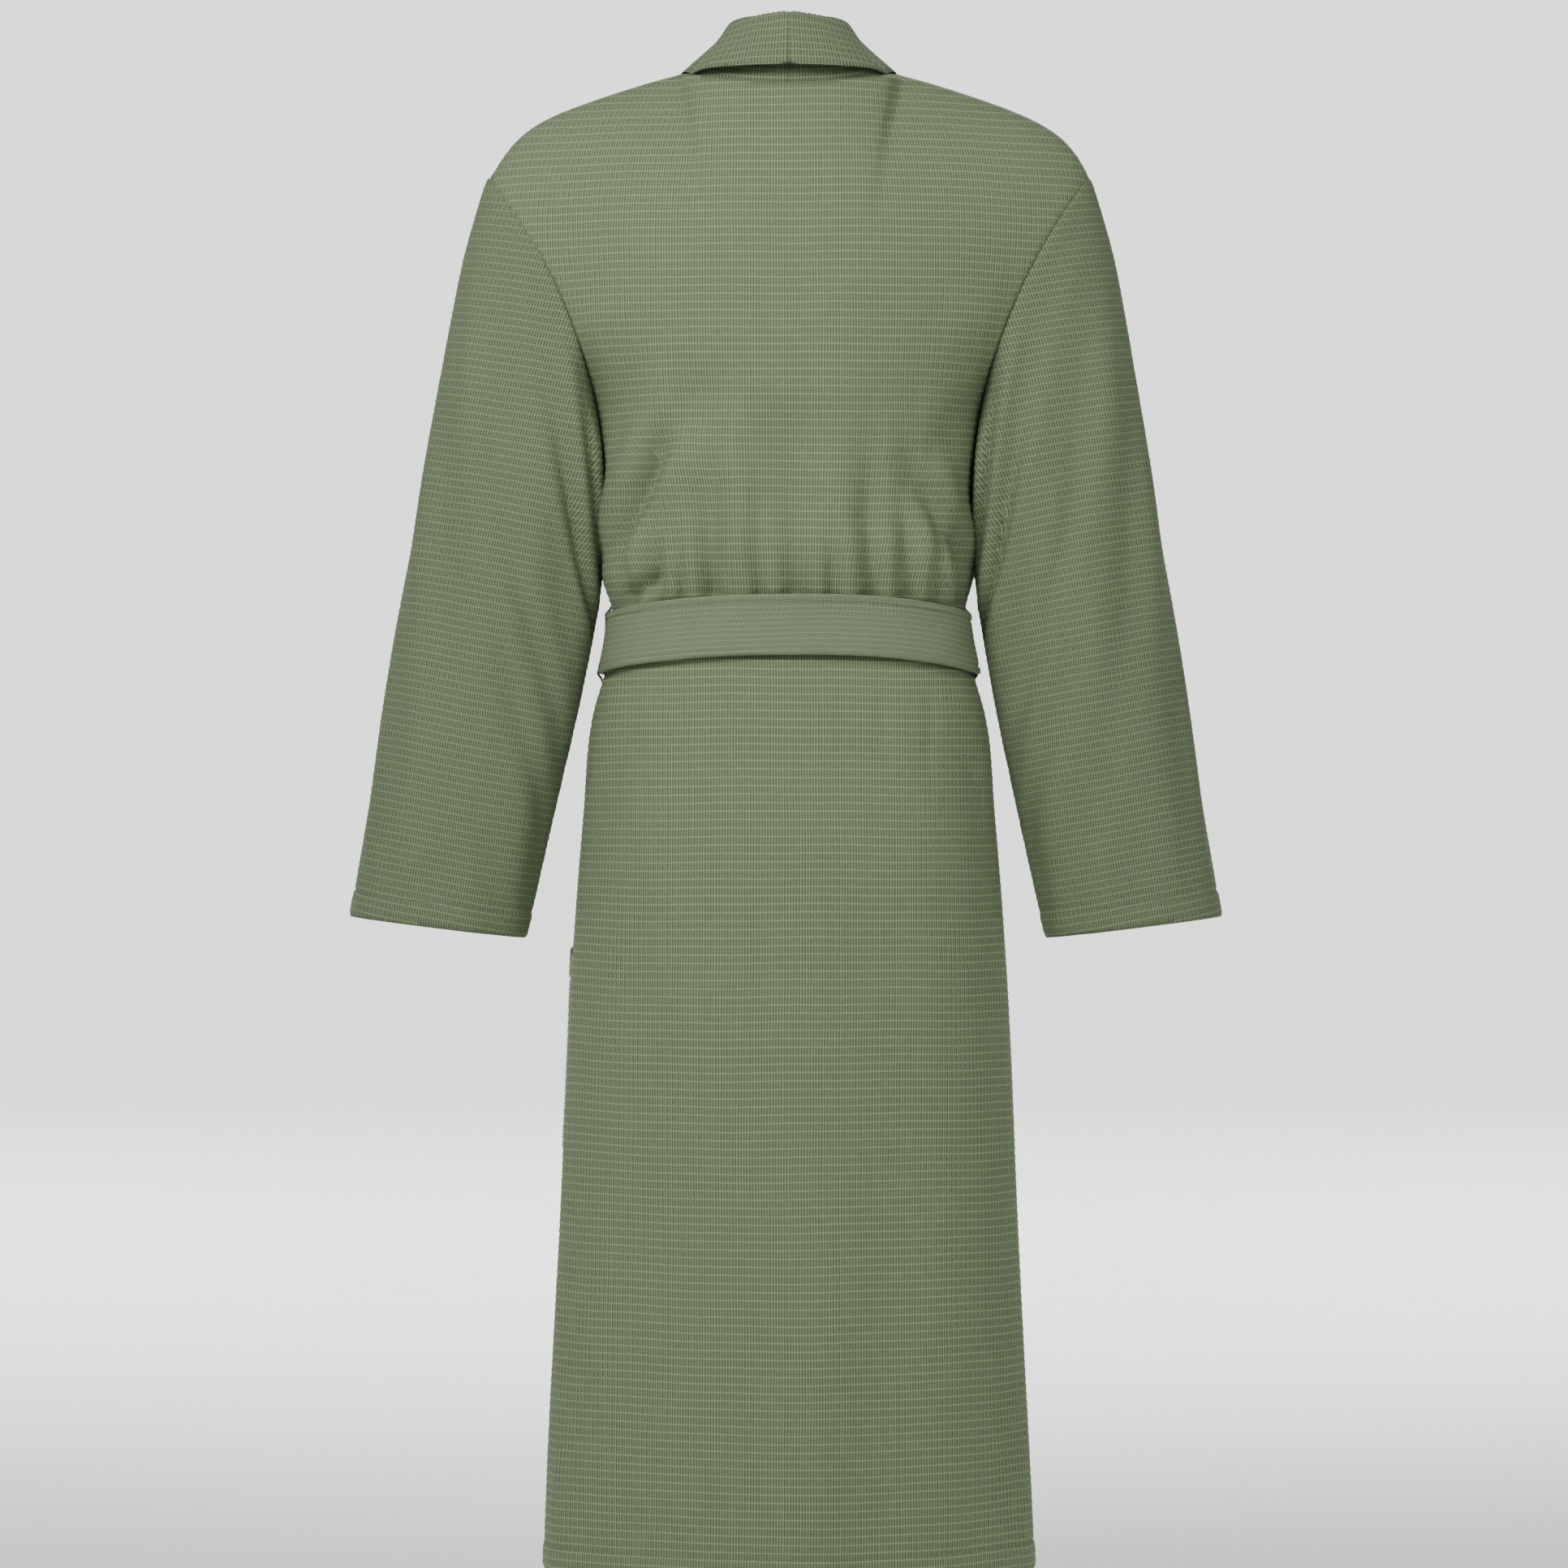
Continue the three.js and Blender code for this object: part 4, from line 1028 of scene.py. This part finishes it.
# The tied knot: a pad of folded cloth with creases that run into its two ends.
def makeKnot():
    turn = np.linspace(0, 2 * math.pi, 97)[:-1][None, :]
    tilt = np.linspace(-quarterTurn, quarterTurn, 61)[:, None]

    def power(value, exponent):
        return np.sign(value) * np.abs(value) ** exponent

    x = power(np.cos(tilt), 0.55) * power(np.cos(turn), 0.6)
    z = power(np.cos(tilt), 0.55) * power(np.sin(turn), 0.6)
    y = -power(np.sin(tilt), 0.6) + 0 * turn
    waist = 1 - 0.14 * hump(x, 0, 0.45) * (np.abs(z) > 0)
    fold = 0.055 * np.sin(x * 9 + z * 5) * smooth(-y, -0.2, 0.6)
    fold = fold + 0.05 * np.sin(z * 11 - x * 4) * smooth(-y, 0, 0.8)
    wrap = 0.12 * hump(x + 0.25 * z, 0, 0.42)
    points = np.stack([
        x * knot["width"] / 2 * (1 + 0.1 * z), (y * (0.86 + fold + wrap)) * knot["depth"] / 2,
        z * knot["height"] / 2 * waist,
    ], axis=-1)
    points = points + (0, beltFrontY - 1.0 - knot["depth"] / 2, -belt["drop"])
    rows, cols = points.shape[:2]
    index = np.arange(rows * cols).reshape(rows, cols)
    following = np.roll(index, -1, axis=1)
    quads = np.stack([index[:-1], following[:-1], following[1:], index[1:]], axis=-1)[1:-1].reshape(-1, 4)
    low = np.stack([np.full(cols, index[0, 0]), following[1], index[1]], axis=-1)
    high = np.stack([np.full(cols, index[-1, 0]), index[-2], following[-2]], axis=-1)
    uvs = (points[..., [0, 2]] / belt["cell"]).reshape(-1, 2)
    flatPoints = points.reshape(-1, 3)
    used = np.unique(np.concatenate([quads.ravel(), low.ravel(), high.ravel()]))
    renumber = np.full(rows * cols, -1)
    renumber[used] = np.arange(len(used))
    faces = [renumber[f] for f in (quads, low, high)]
    return makeObject("belt_knot_cloth", flatPoints[used], faces, uvs[used])


beltKnot = makeKnot()
finishPiece(beltKnot, "robe_body", "belt_knot", beltCotton)

tail = {
    "rows": 121, "columns": 25, "cell": (4.4, 3.4), "pit": 0.7, "thickness": 3.6, "innerCells": 2,
    "length": 400, "topWidth": 24, "width": 50, "widening": 190, "splay": math.radians(6), "standOff": 2.4,
    "edges": {"left": ("hem", 4.5), "right": ("hem", 4.5), "top": ("seam", 0), "bottom": ("hem", 4.5)},
}
tailHinge = np.array([13.0, -126.7, -487.6])


def makeTail(hand):
    u = np.linspace(-0.5, 0.5, tail["columns"])[None, :]
    along = np.linspace(0.5, tail["length"], tail["rows"])[:, None]
    opening = smooth(along, 0, tail["widening"])
    width = mix(tail["topWidth"], tail["width"], opening)
    pleat = (1 - opening) * 3.2 * np.cos(u * 14)
    drape = 2.2 * smooth(along, 20, 250) * np.sin(along / 58 + 1.1 * hand + 1.4 * u)
    endDown = downAt(tailHinge[2] - tail["length"])
    skirt = frontSpot(np.array(0.0), endDown, 1.5, True)
    lean = math.atan2(skirt[1] - tail["standOff"] - 3.4 - tailHinge[1], tail["length"])
    x, y, z = u * width, pleat + drape - 1.2 * opening, -along + 0 * u
    y = y * np.cos(lean) - z * math.sin(lean)
    points = np.stack([x + 0 * z, y, z], axis=-1)
    sway = tail["splay"] * hand
    x, z = points[..., 0] * hand, points[..., 2]
    swayedX, swayedZ = x * math.cos(sway) - z * math.sin(sway), z * math.cos(sway) + x * math.sin(sway)
    turned = np.stack([swayedX, points[..., 1], swayedZ], -1)
    points = turned + tailHinge * (hand, 1, 1)
    return clothPiece(sideName(hand) + "_tail_cloth", points, np.array([0, -1, 0]), tail, grain=None)


leftTail, rightTail = makePair(makeTail, "belt_{}_tail", beltCotton, body="belt_{}_tail")

beltLoop = {
    "rows": 81, "columns": 9, "cell": (2.6, 3.2), "pit": 0.25, "thickness": 1.6, "innerCells": 1,
    "width": 10, "room": 7, "middle": 0.87, "quarterGirth": 150, "wobble": False,
    "edges": {"left": ("fold", 0), "right": ("fold", 0), "top": ("fold", 0), "bottom": ("fold", 0)},
}


def makeBeltLoop(hand):
    halfHeight = belt["width"] / 2 + beltLoop["room"]
    height = np.linspace(halfHeight, -halfHeight, beltLoop["rows"])[:, None]
    aside = np.linspace(-0.5, 0.5, beltLoop["columns"])[None, :] * beltLoop["width"]
    across = hand * (beltLoop["middle"] + aside / beltLoop["quarterGirth"])
    across, height = np.broadcast_arrays(across, height)
    clear = smooth(halfHeight - np.abs(height), 1.5, beltLoop["room"] - 0.5)
    lift = mix(1.5 + 1.1, belt["off"] + 0.2 + belt["thickness"] / 2 + 1.1, clear)
    points = beltSpot(across, -1, height, lift)
    name = sideName(hand) + "_belt_loop_cloth"
    return clothPiece(name, points, points * (1, 1, 0), beltLoop, grain=None)


leftLoop, rightLoop = makePair(makeBeltLoop, "{}_belt_loop", waffleCotton)
print("stage: belt made")


pocket = {
    "rows": 61, "columns": 41, "cell": (4.5, 6.6), "pit": 1.15, "thickness": 2.6, "innerCells": 2,
    "mouth": 705, "height": 165, "width": 124, "fromSide": 34, "fullness": 12,
    "edges": {"left": ("fold", 0), "right": ("fold", 0), "top": ("hem", 25), "bottom": ("fold", 0)},
}


def makePocket(hand):
    middleDown = downAt(-(pocket["mouth"] + pocket["height"] / 2))
    marks = np.linspace(1, 0, 400)
    line = bodySurface(marks, middleDown, -1)
    travel = travelAlong(line)
    u = np.linspace(0, 1, pocket["columns"])[None, :]
    v = np.linspace(0, 1, pocket["rows"])[:, None]
    u, v = np.broadcast_arrays(u, v)
    across = np.interp(mix(pocket["fromSide"] + pocket["width"], pocket["fromSide"], u), travel, marks)
    down = downAt(-(pocket["mouth"] + v * pocket["height"]))
    bulge = np.sin(math.pi * np.clip(u, 0.001, 0.999)) ** 1.5
    bulge = bulge * np.cos(np.clip(v, 0, 0.999) * quarterTurn) ** 0.5
    low = smooth(-heightAt(down), 480, 1150)
    lift = 2.9 + 1.4 * low + pocket["fullness"] * bulge + 0.7 * np.sin(u * 9 + v * 4)
    points = frontSpot(across, down, lift, hand > 0) * (hand, 1, 1)
    return clothPiece(sideName(hand) + "_pocket_cloth", points, np.array([0, -1, 0]), pocket)


leftPocket, rightPocket = makePair(makePocket, "{}_pocket", waffleCotton)
print("stage: pockets made")


hanger = {
    "halfWidth": 32, "drop": 42, "tape": 8, "cell": (1.6, 1.6), "pit": 0.12, "thickness": 1.5,
    "innerCells": 2, "wobble": False,
    "edges": {"left": ("fold", 0), "right": ("fold", 0), "top": ("fold", 0), "bottom": ("fold", 0)},
}
hangerHinge = np.array([0, 57.7, -17.4])


def makeHanger():
    k = np.linspace(0, 1, 101)[:, None]
    angle = (k - 0.5) * math.pi
    reach = np.sign(np.sin(angle)) * np.abs(np.sin(angle)) ** 0.5 * hanger["halfWidth"]
    drop = -(np.abs(np.cos(angle)) ** 0.45) * (hanger["drop"] - hanger["tape"] / 2)
    line = np.concatenate([reach, 0 * k, drop], axis=1)
    way = unit(np.gradient(line, axis=0))
    side = np.stack([-way[:, 2], 0 * way[:, 0], way[:, 0]], axis=-1)
    across = np.linspace(-0.5, 0.5, 9)[None, :, None] * hanger["tape"]
    points = line[:, None] + side[:, None] * across + hangerHinge
    points[..., 1] -= 0.6 * np.abs(np.cos(angle))
    return clothPiece("hanger_loop_tape", points, np.array([0, -1, 0]), hanger, grain=None)


hangerLoop = makeHanger()
finishPiece(hangerLoop["piece"], "hanger_loop", "hanger_loop", tapeCotton)

label = {"neckWidth": 44, "neckHeight": 18, "careWidth": 28, "careHeight": 55, "thickness": 0.7}


# A thin curved plate of cloth, made from a box.
def makeLabel(name, node, width, height, middle, curve):
    bpy.ops.object.select_all(action="DESELECT")
    bpy.ops.mesh.primitive_cube_add(size=metre)
    made = bpy.context.active_object
    made.name = name
    made.scale = (width, label["thickness"], height)
    bpy.ops.object.transform_apply(scale=True)
    bpy.ops.object.mode_set(mode="EDIT")
    bpy.ops.mesh.select_all(action="SELECT")
    bpy.ops.mesh.subdivide(number_cuts=15)
    bpy.ops.object.mode_set(mode="OBJECT")
    for vertex in made.data.vertices:
        vertex.co.y += curve(vertex.co.x / metre, vertex.co.z / metre) * metre
        vertex.co += Vector(middle) * metre
    made.data.polygons.foreach_set("use_smooth", [False] * len(made.data.polygons))
    finishPiece(made, "robe_body", node, labelCloth)
    return made


def middleOf(node):
    low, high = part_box(node)
    return [c / metre for c in (low + high) / 2]


_, neckY, neckZ = middleOf("neck_label")
neckLabel = makeLabel("neck_label_cloth", "neck_label", label["neckWidth"], label["neckHeight"],
                      (0, neckY + 0.2, neckZ), lambda x, z: -0.0009 * x * x - 0.21 * z)
careLabel = makeLabel("care_label_cloth", "care_label", label["careWidth"], label["careHeight"],
                      middleOf("care_label"), lambda x, z: 1.2 * math.sin(x / 9) + 0.8 * math.sin(z / 14))
print("stage: loop and labels made")


# Rows of stitches on a cloth, each a set distance in from one of its edges.
def stitched(cloth, name, body, lines, lift):
    made = makeStitches(name, [lineInside(cloth, side, inset, lift) for side, inset in lines])
    finishPiece(made, body, None, threadCotton)
    cloth["stitches"] = [made]
    return made


hemLine = [("bottom", robe["hem"])]
pocketLines = [("top", 25), ("left", 3), ("right", 3), ("bottom", 3)]
beltLines = [(side, belt["stitchInset"]) for side in ("top", "bottom")]
tailLines = [(side, belt["stitchInset"]) for side in ("left", "right", "bottom")]
overCloth, overPocket, overBelt = 1.6, 1.5, belt["thickness"] / 2 + 0.1
stitched(backCloth, "back_hem_stitches", "robe_body", hemLine, overCloth)
stitched(leftFront, "left_front_stitches", "robe_body", hemLine, overCloth)
stitched(rightFront, "right_front_stitches", "robe_body", hemLine, overCloth)
stitched(beltBand, "belt_band_stitches", "robe_body", beltLines, overBelt)
stitched(leftPocket, "left_pocket_stitches", "robe_body", pocketLines, overPocket)
stitched(rightPocket, "right_pocket_stitches", "robe_body", pocketLines, overPocket)
stitched(leftTail, "left_tail_stitches", "belt_left_tail", tailLines, overBelt)
stitched(rightTail, "right_tail_stitches", "belt_right_tail", tailLines, overBelt)
for cloth, hand in ((leftSleeve, 1), (rightSleeve, -1)):
    cuffLines = [("bottom", 15.5), ("bottom", 20.5)]
    joinSleeve(stitched(cloth, sideName(hand) + "_sleeve_stitches", None, cuffLines, overCloth))
print("stage: stitching made")


def areaLight(name, place, aim, size, energy):
    lamp = bpy.data.lights.new(name, "AREA")
    lamp.shape = "RECTANGLE"
    lamp.size, lamp.size_y = size
    lamp.energy = energy
    made = addObject(name, lamp)
    made.location = place
    made.rotation_euler = (Vector(aim) - Vector(place)).to_track_quat("-Z", "Y").to_euler()


studio = {"floor": -1.3, "radius": 14.0, "bend": 5.0, "height": 8.0, "world": 0.1, "glow": 0.09, "around": 64}


# A pale floor whose edge curves up all round.
def makeStudio():
    profile = [(0.01, 0.0), (studio["radius"] - studio["bend"], 0.0)]
    for k in range(1, 13):
        turn = k / 12 * quarterTurn
        out = studio["radius"] - studio["bend"] * (1 - math.sin(turn))
        profile.append((out, studio["bend"] * (1 - math.cos(turn))))
    profile.append((studio["radius"], studio["height"]))
    points, faces, around = [], [], studio["around"]
    for out, up in profile:
        for k in range(around):
            turn = 2 * math.pi * k / around
            points.append((out * math.cos(turn), out * math.sin(turn), studio["floor"] + up))
    for row in range(len(profile) - 1):
        for k in range(around):
            a, b = row * around + k, row * around + (k + 1) % around
            faces.append((a, b, b + around, a + around))
    faces.append(tuple(range(around - 1, -1, -1)))
    mesh = bpy.data.meshes.new("floor")
    mesh.from_pydata(points, [], faces)
    mesh.polygons.foreach_set("use_smooth", [True] * len(faces))
    floor = addObject("floor", mesh)
    pale = plainMaterial("paleFloor", (0.88, 0.88, 0.87), 0.9, 3, 0.01)
    shader = pale.node_tree.nodes["Principled BSDF"]
    shader.inputs["Emission Color"].default_value = (1, 1, 1, 1)
    shader.inputs["Emission Strength"].default_value = studio["glow"]
    floor.data.materials.append(pale)
    world = bpy.data.worlds.new("studio")
    world.use_nodes = True
    sky = world.node_tree.nodes["Background"]
    sky.inputs["Color"].default_value = (1, 1, 1, 1)
    sky.inputs["Strength"].default_value = studio["world"]
    bpy.context.scene.world = world
    areaLight("key", (0.95, 1.7, 1.0), (0, 0, -0.3), (0.8, 0.8), 42)
    areaLight("side", (-1.3, 1.9, 0.7), (0, 0, -0.4), (0.9, 0.9), 15)
    areaLight("fill", (-0.4, -3.0, 1.2), (0, 0, -0.5), (1.6, 1.4), 40)
    for side in (-1, 1):
        areaLight(f"backdrop{side + 2}", (4.0 * side, -3.0, 3.0), (0, -12, 0.6), (3.0, 3.0), 1000)


makeStudio()

view = {"distance": 4.75, "halfWidth": 0.6325, "aside": 0.004, "height": -0.572}
cameraData = bpy.data.cameras.new("camera")
cameraData.angle = 2 * math.atan(view["halfWidth"] / view["distance"])
camera = addObject("camera", cameraData)
camera.location = (view["aside"], view["distance"], view["height"])
camera.rotation_euler = (quarterTurn, 0, math.pi)
bpy.context.scene.camera = camera
print("stage: studio made")
